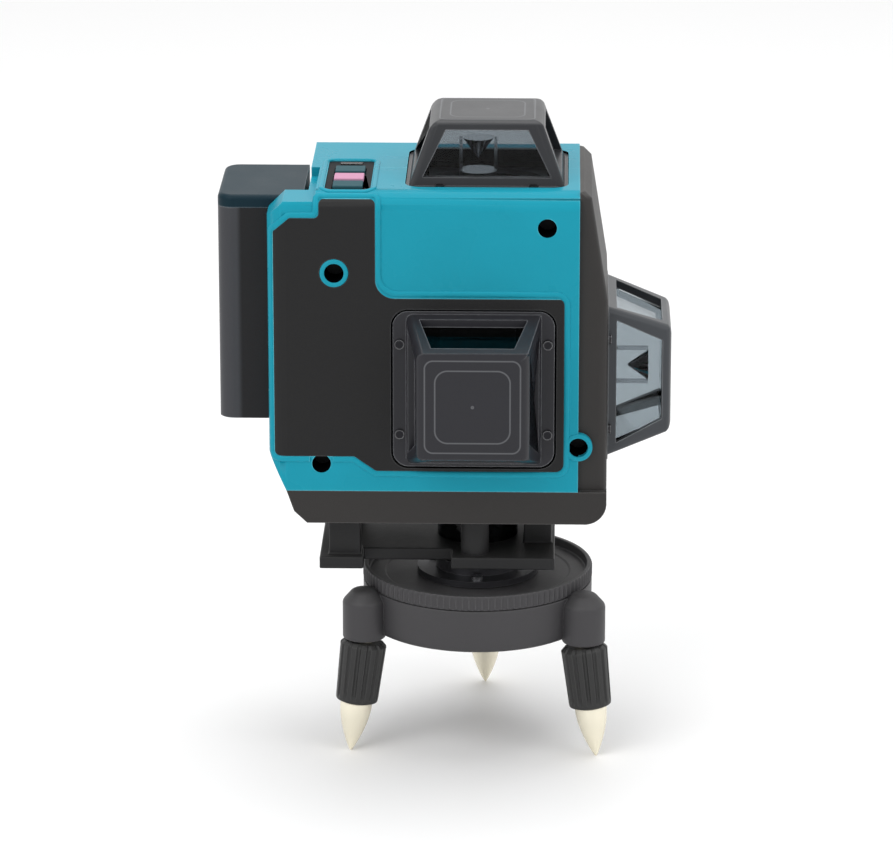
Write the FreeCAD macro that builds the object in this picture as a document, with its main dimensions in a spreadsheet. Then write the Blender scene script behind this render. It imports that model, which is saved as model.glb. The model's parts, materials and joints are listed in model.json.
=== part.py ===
import FreeCAD, Part
import os
import math
import Sketcher
from FreeCAD import Vector

# Self-levelling laser level with four cone optics, standing on a small three-footed turntable base.
# Millimetres. The origin is on the turning axis, at the mouth of the tripod thread under the base.
# +Z is up and -Y is the front, the side with the large square window.

doc = FreeCAD.newDocument("laser_level")

drivingSizes = {
    # base with its three feet
    "floor_level": -38.6, "base_radius": 37.2, "base_height": 14.2, "base_wall": 5.7, "base_turn": 87.6,
    "base_web": 6.0, "hub_radius": 13.0, "insert_radius": 9.0, "insert_length": 8.0,
    "tripod_thread_radius": 6.75, "pilot_bottom": 10.6, "spindle_radius": 8.0, "spindle_rise": 2.4,
    "running_gap": 0.05, "turn_gap": 0.3, "boss_offset": 3.6, "boss_radius": 6.95, "boss_bottom": -0.5,
    "boss_slope": 3.8, "boss_rise": 2.0, "foot_tilt": 7.7, "shank_radius": 3.0, "shank_length": 11.0,
    "shank_room": 1.5, "knob_top_radius": 7.5, "knob_bottom_radius": 6.8, "knob_height": 20.0,
    "knob_edge": 1.5, "tip_radius": 5.15, "tip_collar": 1.4, "tip_point": 0.7, "base_edge": 2.0,
    # turntable
    "dish_thickness": 2.2, "rim_height": 2.8, "rim_wall": 1.8, "washer_radius": 10.5,
    "washer_thickness": 0.8, "pivot_head_radius": 3.2, "pivot_head_height": 1.9,
    "pivot_shank_radius": 1.5, "stud_flange_radius": 19.5, "stud_hat_radius": 13.5,
    "stud_hat_height": 5.8, "stud_metal": 2.0, "stud_collar_radius": 10.0, "stud_radius": 7.6,
    "stud_reach": 3.8, "stud_screw_circle": 16.5, "stud_screw_radius": 1.0, "stud_screw_head": 1.9,
    "stud_head_height": 1.2,
    # bracket under the level
    "plate_rise": 9.0, "plate_thickness": 4.0, "plate_left": -50.0, "plate_right": 25.0,
    "plate_front": -28.0, "plate_back": 24.0, "notch_left": -36.0, "notch_right": -8.0,
    "notch_depth": 9.5, "bracket_insert_radius": 10.5, "bottom_glass_radius": 13.0, "glass_wall": 1.3,
    "post_inset": 3.0, "post_width": 10.0, "post_depth": 9.0, "middle_post_x": -0.5,
    "middle_post_radius": 4.5, "side_post_half": 12.0,
    # case
    "lower_window": 13.3, "bottom_depth": 10.7, "case_height": 97.0, "case_left": -65.6,
    "case_right": 32.2, "case_front": -34.0, "case_back": 34.0, "face_wall": 5.0, "side_wall": 2.4,
    "top_wall": 4.5, "ear_width": 12.6, "ear_back": -18.0, "ear_drop": 3.0, "ear_chamfer": 5.2,
    "ear_room_drop": 12.4, "brow_rounding": 6.0, "housing_bulge": 9.1, "housing_top_bulge": 3.8,
    "housing_straight": 29.0, "housing_depth": 64.0, "housing_edge": 3.0, "housing_brow": 2.3,
    "corner_round_share": 0.65, "skirt_inset": 5.6, "skirt_rise": 12.0, "skirt_heel": 2.4,
    "skirt_heel_share": 0.36, "skirt_toe": 6.5,
    # front and rear panels
    "panel_depth": 1.8, "panel_rise": 6.7, "panel_jog": 4.7, "panel_jog_x": -38.4,
    "panel_border": 2.4, "panel_brow": 3.5, "panel_brow_angle": 39.0, "panel_side_angle": 42.0,
    "panel_step_x": -31.6, "panel_notch": 6.0,
    "panel_ear_drop": 8.1, "panel_ear_x": 5.2, "panel_ear_slope": 4.6, "panel_corner": 1.6,
    "keypad_left": -49.2, "window_rise": 33.6, "window_offset": -0.8,
    "window_gap": 0.6, "window_corner": 5.5, "rear_panel_margin": 4.0, "rear_panel_low": 14.0,
    "rear_panel_high": 12.0, "rear_panel_corner": 4.0,
    # case screws, placed from the case top or from the split
    "high_left_screw_x": -44.5, "high_left_screw_drop": 25.8, "high_right_screw_x": 22.1,
    "high_right_screw_drop": 11.0, "low_left_screw_x": -48.8, "low_left_screw_rise": 9.0,
    "low_right_screw_rise": 14.8, "screw_ring_radius": 4.6,
    "case_boss_radius": 4.2, "case_screw_hole": 3.0,
    "case_screw_shank": 1.5, "case_screw_head": 2.8, "case_screw_head_height": 2.5,
    "case_screw_reach": 15.0, "case_screw_tail": 1.0, "counterbore_depth": 12.0,
    # cages round the cone optics
    "cage_edge": 1.0, "cage_flange": 1.5, "cage_height": 21.5, "cage_narrow_half": 21.2,
    "cage_wide_half": 24.4, "cage_cap_half": 17.2, "cage_wall": 2.0, "cage_glass": 1.2,
    "cage_corner": 5.0, "cage_fit": 0.2, "cage_sill": 2.6, "cage_lintel": 5.5, "cage_post": 4.3,
    "cage_screw_inset": 2.1, "cage_screw_along": 14.7, "cage_screw_radius": 0.8,
    "cage_screw_head": 1.5, "cage_head_height": 0.9, "cage_screw_tail": 1.2, "cap_inlay_half": 11.5,
    "cap_inlay": 0.5, "cap_nub": 2.2, "top_cage_x": 3.0, "top_cage_recess": 2.2,
    "side_window_rise": 32.6, "side_cage_recess": 1.2,
    # keypad
    "key_inset": 12.6, "pad_half": 7.2, "pad_front_inset": 5.0, "pad_length": 38.0, "pad_recess": 1.5,
    "pad_thickness": 1.2, "key_width": 9.4, "key_depth": 7.4, "key_proud": 0.8, "key_gap": 0.3,
    "key_lip": 0.7, "key_height": 6.9, "first_key": 4.9, "key_pitch": 9.8, "lens_half": 3.5,
    "lens_back": 2.2, "lens_depth": 2.8, "board_thickness": 1.4, "key_board_drop": 10.4,
    "switch_height": 2.0, "switch_half": 2.5, "board_offset": 4.4, "board_clearance": 2.0,
    # battery and its dock
    "battery_thickness": 27.2, "battery_wall": 2.0, "battery_lid": 4.0, "battery_rounding": 5.0,
    "battery_lid_edge": 1.6, "dock_plate": 1.5, "ledge_rise": 18.7, "rail_middle": 4.0, "rail_y": 11.0,
    "rail_neck": 2.0, "rail_head": 4.0, "rail_reach": 2.2, "rail_drop": 7.4, "slide_gap": 0.3,
    "cell_radius": 9.2, "cell_length": 65.0, "cell_headroom": 2.0, "cell_slack": 1.9,
    "contact_inset": 5.7, "contact_half": 1.5, "contact_depth": 3.0, "contact_proud": 0.1,
    "contact_pitch": 7.0, "battery_contact": 1.0,
    # pendulum
    "pivot_drop": 25.4, "ring_outer": 24.0, "ring_inner": 20.0, "ring_height": 6.0, "pin_radius": 1.5,
    "lug_clearance": 3.0, "lug_thickness": 3.0, "lug_half": 5.0, "bracket_half": 22.0,
    "bracket_plate": 1.8, "neck_half_x": 7.5, "neck_half_y": 17.5, "neck_height": 10.0,
    "column_half": 12.0, "column_rise": 6.6, "barrel_radius": 6.0, "low_barrel_radius": 4.2,
    "barrel_seat": 5.0, "top_barrel_seat": 4.0, "low_barrel_seat": 8.0, "top_barrel": 34.0,
    "front_barrel": 29.0, "side_barrel": 37.0, "low_barrel": 26.0, "mirror_length": 6.5,
    "mirror_gap": 4.0, "mirror_tip": 0.3, "strut_width": 1.0, "strut_depth": 2.0,
    "damper_radius": 15.0, "damper_gap": 2.1, "damper_thickness": 2.5, "magnet_circle": 16.0,
    "magnet_radius": 3.0, "magnet_height": 2.8, "pin_bite": 4.0, "pin_inset": 0.5,
    # rear fittings
    "jack_x": 20.0, "jack_rise": 7.1, "jack_half": 5.2, "jack_length": 12.0, "jack_nose_radius": 4.1,
    "jack_inset": 0.6, "jack_bore_radius": 2.75, "jack_pin_radius": 1.0, "jack_bore_depth": 9.5,
    "lock_x": -3.0, "lock_rise": 6.0, "lock_travel": 6.0, "lock_stem_width": 9.0,
    "lock_stem_height": 4.0, "lock_knob_width": 18.0, "lock_knob_height": 8.0,
    "lock_knob_depth": 3.4, "lock_tongue_depth": 4.0, "lock_tongue_width": 13.0,
    "lock_tongue_height": 7.0,
}

# places and sizes that follow from the ones above
derivedSizes = {
    "web_bottom": "base_height - base_web", "spindle_top": "base_height + spindle_rise",
    "boss_centre": "base_radius + boss_offset", "boss_top": "base_height + boss_rise",
    "boss_shoulder": "boss_top - boss_slope", "foot_bore_depth": "shank_length + shank_room",
    "dish_floor": "base_height + dish_thickness", "rim_top": "dish_floor + rim_height",
    "stud_hat_top": "dish_floor + stud_hat_height", "foot_plate_bottom": "dish_floor + plate_rise",
    "stud_top": "foot_plate_bottom + stud_reach",
    "foot_plate_top": "foot_plate_bottom + plate_thickness",
    "case_bottom": "foot_plate_top + lower_window", "case_split": "case_bottom + bottom_depth",
    "case_top": "case_split + case_height", "neck_left": "case_left + ear_width",
    "ear_top": "case_top - ear_drop", "ear_room_top": "case_top - ear_room_drop",
    "corner_rounding": "bottom_depth * corner_round_share",
    "skirt_heel_rise": "bottom_depth * skirt_heel_share",
    "window_centre": "case_split + window_rise", "side_cage_z": "case_split + side_window_rise",
    "cage_flange_half": "cage_wide_half + cage_edge",
    "cage_hole_half": "cage_narrow_half - cage_wall - cage_fit",
    "cage_screw_across": "cage_narrow_half + cage_screw_inset",
    "cage_recess_half": "cage_flange_half + cage_fit",
    "window_half": "cage_flange_half + window_gap", "housing_right": "case_right + housing_bulge",
    "housing_top_right": "case_right + housing_top_bulge",
    "housing_shoulder": "side_cage_z + housing_straight",
    "side_cage_seat": "housing_right - side_cage_recess",
    "top_cage_seat": "case_top - top_cage_recess",
    "panel_left": "case_left + brow_rounding * (1 - sin(panel_side_angle))",
    "panel_top": "case_top - brow_rounding * (1 - sin(panel_brow_angle))",
    "panel_low": "case_split + panel_rise", "panel_low_left": "panel_low + panel_jog",
    "panel_mid": "window_centre + window_half + panel_brow",
    "panel_right": "window_offset + window_half + panel_border",
    "panel_ear_top": "case_top - panel_ear_drop",
    "high_left_screw_z": "case_top - high_left_screw_drop",
    "high_right_screw_z": "case_top - high_right_screw_drop",
    "low_left_screw_z": "case_split + low_left_screw_rise",
    "low_right_screw_z": "case_split + low_right_screw_rise",
    "key_x": "neck_left + key_inset", "pad_left": "key_x - pad_half", "pad_right": "key_x + pad_half",
    "pad_front": "case_front + pad_front_inset", "pad_back": "pad_front + pad_length",
    "first_key_y": "pad_front + first_key", "key_top": "case_top + key_proud",
    "key_bottom": "key_top - key_height", "key_board_bottom": "case_top - key_board_drop",
    "board_x": "key_x + board_offset", "board_low": "case_split + board_clearance",
    "ledge_top": "case_split + ledge_rise", "battery_bottom": "ledge_top + slide_gap",
    "battery_top": "battery_bottom + battery_wall + cell_length + cell_headroom + battery_lid",
    "battery_right": "neck_left - dock_plate - slide_gap",
    "battery_left": "battery_right - battery_thickness", "battery_front": "ear_back + slide_gap",
    "battery_back": "battery_front + battery_wall * 2 + cell_radius * 4 + cell_slack",
    "rail_top": "battery_top - rail_drop", "contact_x": "battery_right - contact_inset",
    "pivot_height": "case_top - pivot_drop", "lug_inner": "ring_outer + lug_clearance",
    "lug_outer": "lug_inner + lug_thickness", "column_bottom": "case_split + column_rise",
    "neck_bottom": "pivot_height - neck_height / 2",
    "damper_bottom": "case_bottom + side_wall + magnet_height + damper_gap",
    "jack_z": "case_split + jack_rise", "lock_z": "case_split + lock_rise",
}

sheet = doc.addObject("Spreadsheet::Sheet", "sizes")
rows = list(drivingSizes.items()) + [(alias, "=" + rule) for alias, rule in derivedSizes.items()]
for row, (alias, entry) in enumerate(rows, start=1):
    sheet.set("A%d" % row, alias)
    sheet.set("B%d" % row, str(entry))
    sheet.setAlias("B%d" % row, alias)
doc.recompute()


class Size:
    """A number together with the sheet expression that gives it."""

    def __init__(self, number, text):
        self.number = float(number)
        self.text = text

    def joined(self, other, sign, number):
        return Size(number, "(%s %s %s)" % (self.text, sign, size(other).text))

    def __add__(self, other):
        return self.joined(other, "+", self.number + size(other).number)

    def __sub__(self, other):
        return self.joined(other, "-", self.number - size(other).number)

    def __mul__(self, other):
        return self.joined(other, "*", self.number * size(other).number)

    def __truediv__(self, other):
        return self.joined(other, "/", self.number / size(other).number)

    def __rsub__(self, other):
        return size(other) - self

    def __neg__(self):
        return Size(-self.number, "(0 - %s)" % self.text)


def size(value):
    if isinstance(value, Size):
        return value
    return Size(value, repr(float(value)) if value >= 0 else "(0 - %r)" % -float(value))


class Sheet:
    """Gives each named cell of the sheet as a Size."""

    def __getattr__(self, alias):
        return Size(sheet.get(alias), "sizes." + alias)


d = Sheet()


def sine(angle):
    return Size(math.sin(math.radians(angle.number)), "sin(%s)" % angle.text)


def cosine(angle):
    return Size(math.cos(math.radians(angle.number)), "cos(%s)" % angle.text)


def bind(thing, prop, value):
    thing.setExpression(prop, size(value).text)


# ---- sketches and features ---------------------------------------------------------------------

def newBody(name):
    body = doc.addObject("PartDesign::Body", name)
    body.Label = name
    return body


def sketchOn(body, plane, offset=0):
    """Sketch on an origin plane. XZ faces the front, so its offset is minus Y."""
    sketch = body.newObject("Sketcher::SketchObject", body.Name + "_sketch")
    face = [item for item in body.Origin.OriginFeatures if item.Role == plane][0]
    sketch.AttachmentSupport = (face, [""])
    sketch.MapMode = "FlatFace"
    bind(sketch, "AttachmentOffset.Base.z", offset)
    return sketch


def held(sketch, kind, geometry, point, value):
    index = sketch.addConstraint(Sketcher.Constraint(kind, geometry, point, size(value).number))
    sketch.setExpression("Constraints[%d]" % index, size(value).text)


def polygon(sketch, points):
    """Closed outline whose every corner is held from the sketch origin."""
    corners = [(size(x), size(y)) for x, y in points]
    first = sketch.GeometryCount
    for index, (x, y) in enumerate(corners):
        nextX, nextY = corners[(index + 1) % len(corners)]
        start = Vector(x.number, y.number, 0)
        sketch.addGeometry(Part.LineSegment(start, Vector(nextX.number, nextY.number, 0)), False)
    for index, (x, y) in enumerate(corners):
        before = first + (index - 1) % len(corners)
        sketch.addConstraint(Sketcher.Constraint("Coincident", before, 2, first + index, 1))
        held(sketch, "DistanceX", first + index, 1, x)
        held(sketch, "DistanceY", first + index, 1, y)
    return sketch


def rectangle(sketch, left, right, low, high):
    return polygon(sketch, [(left, low), (right, low), (right, high), (left, high)])


def square(sketch, x, y, half):
    return rectangle(sketch, size(x) - half, size(x) + half, size(y) - half, size(y) + half)


def circle(sketch, x, y, radius):
    centre = Vector(size(x).number, size(y).number, 0)
    index = sketch.addGeometry(Part.Circle(centre, Vector(0, 0, 1), size(radius).number), False)
    held(sketch, "DistanceX", index, 3, x)
    held(sketch, "DistanceY", index, 3, y)
    radiusIndex = sketch.addConstraint(Sketcher.Constraint("Radius", index, size(radius).number))
    sketch.setExpression("Constraints[%d]" % radiusIndex, size(radius).text)
    return sketch


def pad(body, sketch, length, backwards=False):
    feature = body.newObject("PartDesign::Pad", body.Name + "_pad")
    feature.Profile = sketch
    bind(feature, "Length", length)
    feature.Reversed = backwards
    return feature


def pocket(body, sketch, length, backwards=False):
    feature = body.newObject("PartDesign::Pocket", body.Name + "_pocket")
    feature.Profile = sketch
    bind(feature, "Length", length)
    feature.Reversed = backwards
    return feature


def turned(body, sketch, axis=None, kind="PartDesign::Revolution"):
    feature = body.newObject(kind, body.Name + "_turned")
    feature.Profile = sketch
    feature.ReferenceAxis = axis or (sketch, ["V_Axis"])
    feature.Angle = 360
    return feature


def rounded(body, radius, wanted, kind="PartDesign::Fillet"):
    """Fillets or chamfers the edges of the body that the given test picks."""
    doc.recompute()
    base = body.Tip
    names = ["Edge%d" % (index + 1) for index, edge in enumerate(base.Shape.Edges) if wanted(edge)]
    if not names:
        raise ValueError("no edge to round on " + body.Name)
    feature = body.newObject(kind, body.Name + "_edge")
    feature.Base = (base, names)
    bind(feature, "Radius" if kind.endswith("Fillet") else "Size", radius)
    return feature


def runsAlong(edge, axis):
    """True where the edge is a straight line along X, Y or Z."""
    if len(edge.Vertexes) != 2 or not isinstance(edge.Curve, Part.Line):
        return False
    step = edge.Vertexes[1].Point - edge.Vertexes[0].Point
    return abs(abs(step.dot(axis)) - step.Length) < 1e-6


def passes(edge, **place):
    """True where the middle of the edge has the given coordinates."""
    middle = edge.CenterOfMass
    return all(abs(getattr(middle, axis) - size(value).number) < 0.01 for axis, value in place.items())


alongX, alongY, alongZ = Vector(1, 0, 0), Vector(0, 1, 0), Vector(0, 0, 1)


# ---- primitives --------------------------------------------------------------------------------

def primitive(kind, name, place=(0, 0, 0), turn=None, **dimensions):
    thing = doc.addObject(kind, name)
    for prop, value in dimensions.items():
        bind(thing, prop, value)
    if turn:
        thing.Placement = FreeCAD.Placement(Vector(), turn)
    for axis, value in zip("xyz", place):
        bind(thing, "Placement.Base." + axis, value)
    return thing


def boxBetween(name, low, high):
    spans = {side: size(b) - a for side, a, b in zip(("Length", "Width", "Height"), low, high)}
    return primitive("Part::Box", name, low, **spans)


def cylinder(name, place, radius, height, turn=None):
    return primitive("Part::Cylinder", name, place, turn, Radius=radius, Height=height)


def taper(name, start, length, halfX, endHalfX, halfZ, endHalfZ):
    """Block that narrows along its own +Y, from one half width to another on each side."""
    return primitive(
        "Part::Wedge", name, Ymin=start, Ymax=size(start) + length,
        Xmin=-size(halfX), Xmax=halfX, X2min=-size(endHalfX), X2max=endHalfX,
        Zmin=-size(halfZ), Zmax=halfZ, Z2min=-size(endHalfZ), Z2max=endHalfZ)


def fused(name, things):
    result = doc.addObject("Part::MultiFuse", name)
    result.Shapes = things
    result.Label = name
    return result


def cut(name, base, tool):
    result = doc.addObject("Part::Cut", name)
    result.Base = base
    result.Tool = tool
    result.Label = name
    return result


def group(name, things):
    result = doc.addObject("Part::Compound", name)
    result.Links = things
    result.Label = name
    return result


def placed(thing, place, turn):
    """Stands a finished piece at a place read from the sheet, with a fixed turn."""
    thing.Placement = FreeCAD.Placement(Vector(), turn)
    for axis, value in zip("xyz", place):
        bind(thing, "Placement.Base." + axis, value)
    return thing


uprightTurn = FreeCAD.Rotation()
towardsFront = FreeCAD.Rotation(alongX, 90)      # +Z becomes -Y
towardsBack = FreeCAD.Rotation(alongX, -90)      # +Z becomes +Y
towardsRight = FreeCAD.Rotation(alongY, 90)      # +Z becomes +X
towardsFloor = FreeCAD.Rotation(alongX, 180)     # +Z becomes -Z

nodes = []


def keep(*pieces):
    nodes.extend(pieces)


# ---- base, feet and turntable ------------------------------------------------------------------

studScrewAngles = (30, 150, 270)
overshoot = 1.0      # how far a cutting outline reaches past the piece that it cuts
noseRadiusShare = 0.72     # where the boss's slope turns inward: share of its radius
noseRiseShare = 0.7        # and share of its slope
bellyRadiusShare = 0.84    # where the foot's cone starts to narrow faster: share of its radius
bellyRiseShare = 0.42      # and share of its length


def tripodBase():
    """Round base: hub, web and wall turned in one, with three bosses drilled for the feet."""
    body = newBody("tripod_base")
    wallInner = d.base_radius - d.base_wall
    turned(body, polygon(sketchOn(body, "XZ_Plane"), [
        (0, d.insert_length), (d.insert_radius, d.insert_length), (d.insert_radius, 0),
        (d.hub_radius, 0), (d.hub_radius, d.web_bottom), (wallInner, d.web_bottom), (wallInner, 0),
        (d.base_radius, 0), (d.base_radius, d.base_height), (d.spindle_radius, d.base_height),
        (d.spindle_radius, d.spindle_top), (d.pivot_shank_radius, d.spindle_top),
        (d.pivot_shank_radius, d.pilot_bottom), (0, d.pilot_bottom)]))
    rounded(body, d.base_edge, lambda edge: isinstance(edge.Curve, Part.Circle)
            and abs(edge.Curve.Radius - d.base_radius.number) < 0.01 and passes(edge, z=0))

    bossSketch = sketchOn(body, "XZ_Plane")
    polygon(bossSketch, [
        (d.boss_centre, d.boss_bottom), (d.boss_centre + d.boss_radius, d.boss_bottom),
        (d.boss_centre + d.boss_radius, d.boss_shoulder),
        (d.boss_centre + d.boss_radius * noseRadiusShare,
         d.boss_shoulder + d.boss_slope * noseRiseShare),
        (d.boss_centre, d.boss_top)])
    boss = turned(body, bossSketch, uprightAxis(bossSketch, d.boss_centre))

    boreSketch = sketchOn(body, "XZ_Plane")
    across, up = cosine(d.foot_tilt), sine(d.foot_tilt)
    boreRadius = d.shank_radius + d.running_gap

    def onBore(side, height):
        return (d.boss_centre + across * side - up * height, d.boss_bottom + up * side + across * height)

    low, high = -d.shank_radius, d.foot_bore_depth
    corners = [onBore(0, low), onBore(boreRadius, low), onBore(boreRadius, high), onBore(0, high)]
    polygon(boreSketch, corners)
    start, end = [Vector(x.number, y.number, 0) for x, y in (corners[0], corners[3])]
    axisLine = boreSketch.addGeometry(Part.LineSegment(start, end), True)
    boreSketch.addConstraint(Sketcher.Constraint("Coincident", axisLine, 1, 0, 1))
    boreSketch.addConstraint(Sketcher.Constraint("Coincident", axisLine, 2, 3, 1))
    bore = turned(body, boreSketch, (boreSketch, ["Axis0"]), "PartDesign::Groove")

    pattern = body.newObject("PartDesign::PolarPattern", "tripod_base_pattern")
    pattern.Originals = [boss, bore]
    pattern.Axis = (bossSketch, ["V_Axis"])
    pattern.Angle = 360
    pattern.Occurrences = 3
    body.Tip = pattern
    turned(body, rectangle(sketchOn(body, "XZ_Plane"), d.boss_centre - d.boss_radius - overshoot,
                           d.base_radius + d.turn_gap, d.base_height, d.boss_top + overshoot),
           kind="PartDesign::Groove")
    bind(body, "Placement.Rotation.Angle", d.base_turn)
    return body


def uprightAxis(sketch, x):
    """Construction line standing at x, to turn an outline about."""
    line = sketch.addGeometry(Part.LineSegment(Vector(x.number, -5, 0), Vector(x.number, 20, 0)), True)
    sketch.addConstraint(Sketcher.Constraint("Vertical", line))
    held(sketch, "DistanceX", line, 1, x)
    return (sketch, ["Axis0"])


def ring(name, inner, outer, low, high):
    body = newBody(name)
    turned(body, rectangle(sketchOn(body, "XZ_Plane"), inner, outer, low, high))
    return body


def onCircle(radius, angle):
    return (radius * math.cos(math.radians(angle)), radius * math.sin(math.radians(angle)))


def drilled(body, top, depth):
    """Three holes for the screws that hold the stud plate in the dish."""
    holes = sketchOn(body, "XY_Plane", top)
    for angle in studScrewAngles:
        circle(holes, *onCircle(d.stud_screw_circle, angle), d.stud_screw_radius)
    pocket(body, holes, depth)


def turntableDish():
    body = newBody("turntable_dish")
    bore = d.spindle_radius + d.running_gap
    under = d.base_height + d.turn_gap
    turned(body, polygon(sketchOn(body, "XZ_Plane"), [
        (bore, under), (d.base_radius, under), (d.base_radius, d.rim_top),
        (d.base_radius - d.rim_wall, d.rim_top), (d.base_radius - d.rim_wall, d.dish_floor),
        (bore, d.dish_floor)]))
    drilled(body, d.dish_floor, d.dish_floor - under)
    return body


def pivotScrew():
    body = newBody("pivot_screw")
    seat = d.spindle_top + d.washer_thickness
    tip = d.pilot_bottom + d.turn_gap
    turned(body, polygon(sketchOn(body, "XZ_Plane"), [
        (0, tip), (d.pivot_shank_radius, tip), (d.pivot_shank_radius, seat),
        (d.pivot_head_radius, seat), (d.pivot_head_radius, seat + d.pivot_head_height),
        (0, seat + d.pivot_head_height)]))
    return body


def studPlate():
    """Pressed hat over the pivot screw, with the male stud that the level is screwed on to."""
    body = newBody("stud_plate")
    hatInner = d.stud_hat_radius - d.stud_metal
    flangeTop = d.dish_floor + d.stud_metal
    turned(body, polygon(sketchOn(body, "XZ_Plane"), [
        (0, d.stud_hat_top - d.stud_metal), (hatInner, d.stud_hat_top - d.stud_metal),
        (hatInner, d.dish_floor), (d.stud_flange_radius, d.dish_floor),
        (d.stud_flange_radius, flangeTop), (d.stud_hat_radius, flangeTop),
        (d.stud_hat_radius, d.stud_hat_top), (d.stud_collar_radius, d.stud_hat_top),
        (d.stud_collar_radius, d.foot_plate_bottom), (d.stud_radius, d.foot_plate_bottom),
        (d.stud_radius, d.stud_top), (0, d.stud_top)]))
    drilled(body, flangeTop, d.stud_metal)
    return body


def studScrews():
    seat = d.dish_floor + d.stud_metal
    low = d.base_height + d.turn_gap
    screws = []
    for index, angle in enumerate(studScrewAngles, start=1):
        x, y = onCircle(d.stud_screw_circle, angle)
        shank = cylinder("stud_shank_%d" % index, (x, y, low), d.stud_screw_radius, seat - low)
        head = cylinder("stud_head_%d" % index, (x, y, seat), d.stud_screw_head, d.stud_head_height)
        screws.append(fused("stud_screw_%d" % index, [shank, head]))
    return group("stud_screws", screws)


def footAxis(body, number):
    """Stands a foot piece, drawn about its own Z, on the tilted axis of foot 1, 2 or 3."""
    angle = d.base_turn + (number - 1) * 120.0
    body.setExpression("Placement", "placement(vector(%s; %s; %s); rotationz(%s) * rotationy(%s))" % (
        (d.boss_centre * cosine(angle)).text, (d.boss_centre * sine(angle)).text, d.boss_bottom.text,
        angle.text, (-d.foot_tilt).text))
    return body


def knobTop():
    """Height of a knob's upper end on its own axis, low enough to clear the level underside of the boss."""
    return -(d.turn_gap + d.knob_top_radius * sine(d.foot_tilt))


def footTip(number):
    """Pointed metal foot with its threaded shank, which climbs into the boss."""
    body = newBody("foot_tip_%d" % number)
    length = (d.boss_bottom - d.floor_level) / cosine(d.foot_tilt)
    shoulder = knobTop() - d.knob_height - d.turn_gap
    belly = shoulder - d.tip_collar - (length + shoulder) * bellyRiseShare
    turned(body, polygon(sketchOn(body, "XZ_Plane"), [
        (0, -length), (d.tip_point, -length + d.tip_point), (d.tip_radius * bellyRadiusShare, belly),
        (d.tip_radius, shoulder - d.tip_collar), (d.tip_radius, shoulder), (d.shank_radius, shoulder),
        (d.shank_radius, d.shank_length), (0, d.shank_length)]))
    return footAxis(body, number)


def footKnob(number):
    body = newBody("foot_knob_%d" % number)
    bore = d.shank_radius + d.running_gap
    top = knobTop()
    turned(body, polygon(sketchOn(body, "XZ_Plane"), [
        (bore, top - d.knob_height), (d.knob_bottom_radius, top - d.knob_height),
        (d.knob_top_radius, top - d.knob_edge), (d.knob_top_radius - d.knob_edge / 2, top), (bore, top)]))
    return footAxis(body, number)


# ---- bracket under the level -------------------------------------------------------------------

def bottomBracket():
    """Foot plate with its front notch, and the posts that carry the case above the lower optic."""
    body = newBody("bottom_bracket")
    notchBack = d.plate_front + d.notch_depth
    plate = sketchOn(body, "XY_Plane", d.foot_plate_bottom)
    polygon(plate, [
        (d.plate_left, d.plate_front), (d.notch_left, d.plate_front), (d.notch_left, notchBack),
        (d.notch_right, notchBack), (d.notch_right, d.plate_front), (d.plate_right, d.plate_front),
        (d.plate_right, d.plate_back), (d.plate_left, d.plate_back)])
    circle(plate, 0, 0, d.bracket_insert_radius)
    pad(body, plate, d.plate_thickness)
    posts = sketchOn(body, "XY_Plane", d.foot_plate_top)
    postLeft = d.plate_left + d.post_inset
    front, back = d.plate_front + d.post_inset, d.plate_back - d.post_inset
    rectangle(posts, postLeft, postLeft + d.post_width, front, front + d.post_depth)
    rectangle(posts, postLeft, postLeft + d.post_width, back - d.post_depth, back)
    postRight = d.plate_right - overshoot
    rectangle(posts, postRight - d.post_depth, postRight, -d.side_post_half, d.side_post_half)
    circle(posts, d.middle_post_x, front + d.middle_post_radius - overshoot, d.middle_post_radius)
    circle(posts, d.middle_post_x, back - d.middle_post_radius + overshoot, d.middle_post_radius)
    pad(body, posts, d.lower_window)
    return body


# ---- case --------------------------------------------------------------------------------------

def screwPlaces():
    """Places of the four case screws on the front face, across and up."""
    return [(d.high_left_screw_x, d.high_left_screw_z), (d.high_right_screw_x, d.high_right_screw_z),
            (d.low_left_screw_x, d.low_left_screw_z), (d.case_right, d.low_right_screw_z)]


def atScrews(sketch, radius):
    for x, z in screwPlaces():
        circle(sketch, x, z, radius)
    return sketch


def cageScrewPlaces():
    """Offsets of a cage's four screws from its centre, across and along."""
    return [(d.cage_screw_across * a, d.cage_screw_along * b) for a in (-1, 1) for b in (-1, 1)]


def squareCorners(x, y, half):
    return [(size(x) + half * a, size(y) + half * b) for a in (-1, 1) for b in (-1, 1)]


def topOpenings(body):
    """Recess, hole and screw holes for the top cage, and the keypad's recess."""
    pocket(body, square(sketchOn(body, "XY_Plane", d.case_top), d.top_cage_x, 0, d.cage_recess_half),
           d.top_cage_recess)
    corners = squareCorners(d.top_cage_x, 0, d.cage_recess_half)
    rounded(body, d.cage_corner + d.cage_fit, lambda edge: runsAlong(edge, alongZ)
            and any(passes(edge, x=x, y=y) for x, y in corners))
    pocket(body, square(sketchOn(body, "XY_Plane", d.case_top), d.top_cage_x, 0,
                        d.cage_hole_half), d.top_wall + overshoot)
    holes = sketchOn(body, "XY_Plane", d.case_top)
    for across, along in cageScrewPlaces():
        inFront = body.Name == "front_shell"
        if (across.number < 0) == inFront:
            circle(holes, d.top_cage_x + along, across, d.cage_screw_radius)
    pocket(body, holes, d.top_wall + overshoot)
    pocket(body, rectangle(sketchOn(body, "XY_Plane", d.case_top), d.pad_left, d.pad_right,
                           d.pad_front, d.pad_back), d.pad_recess)


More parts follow.
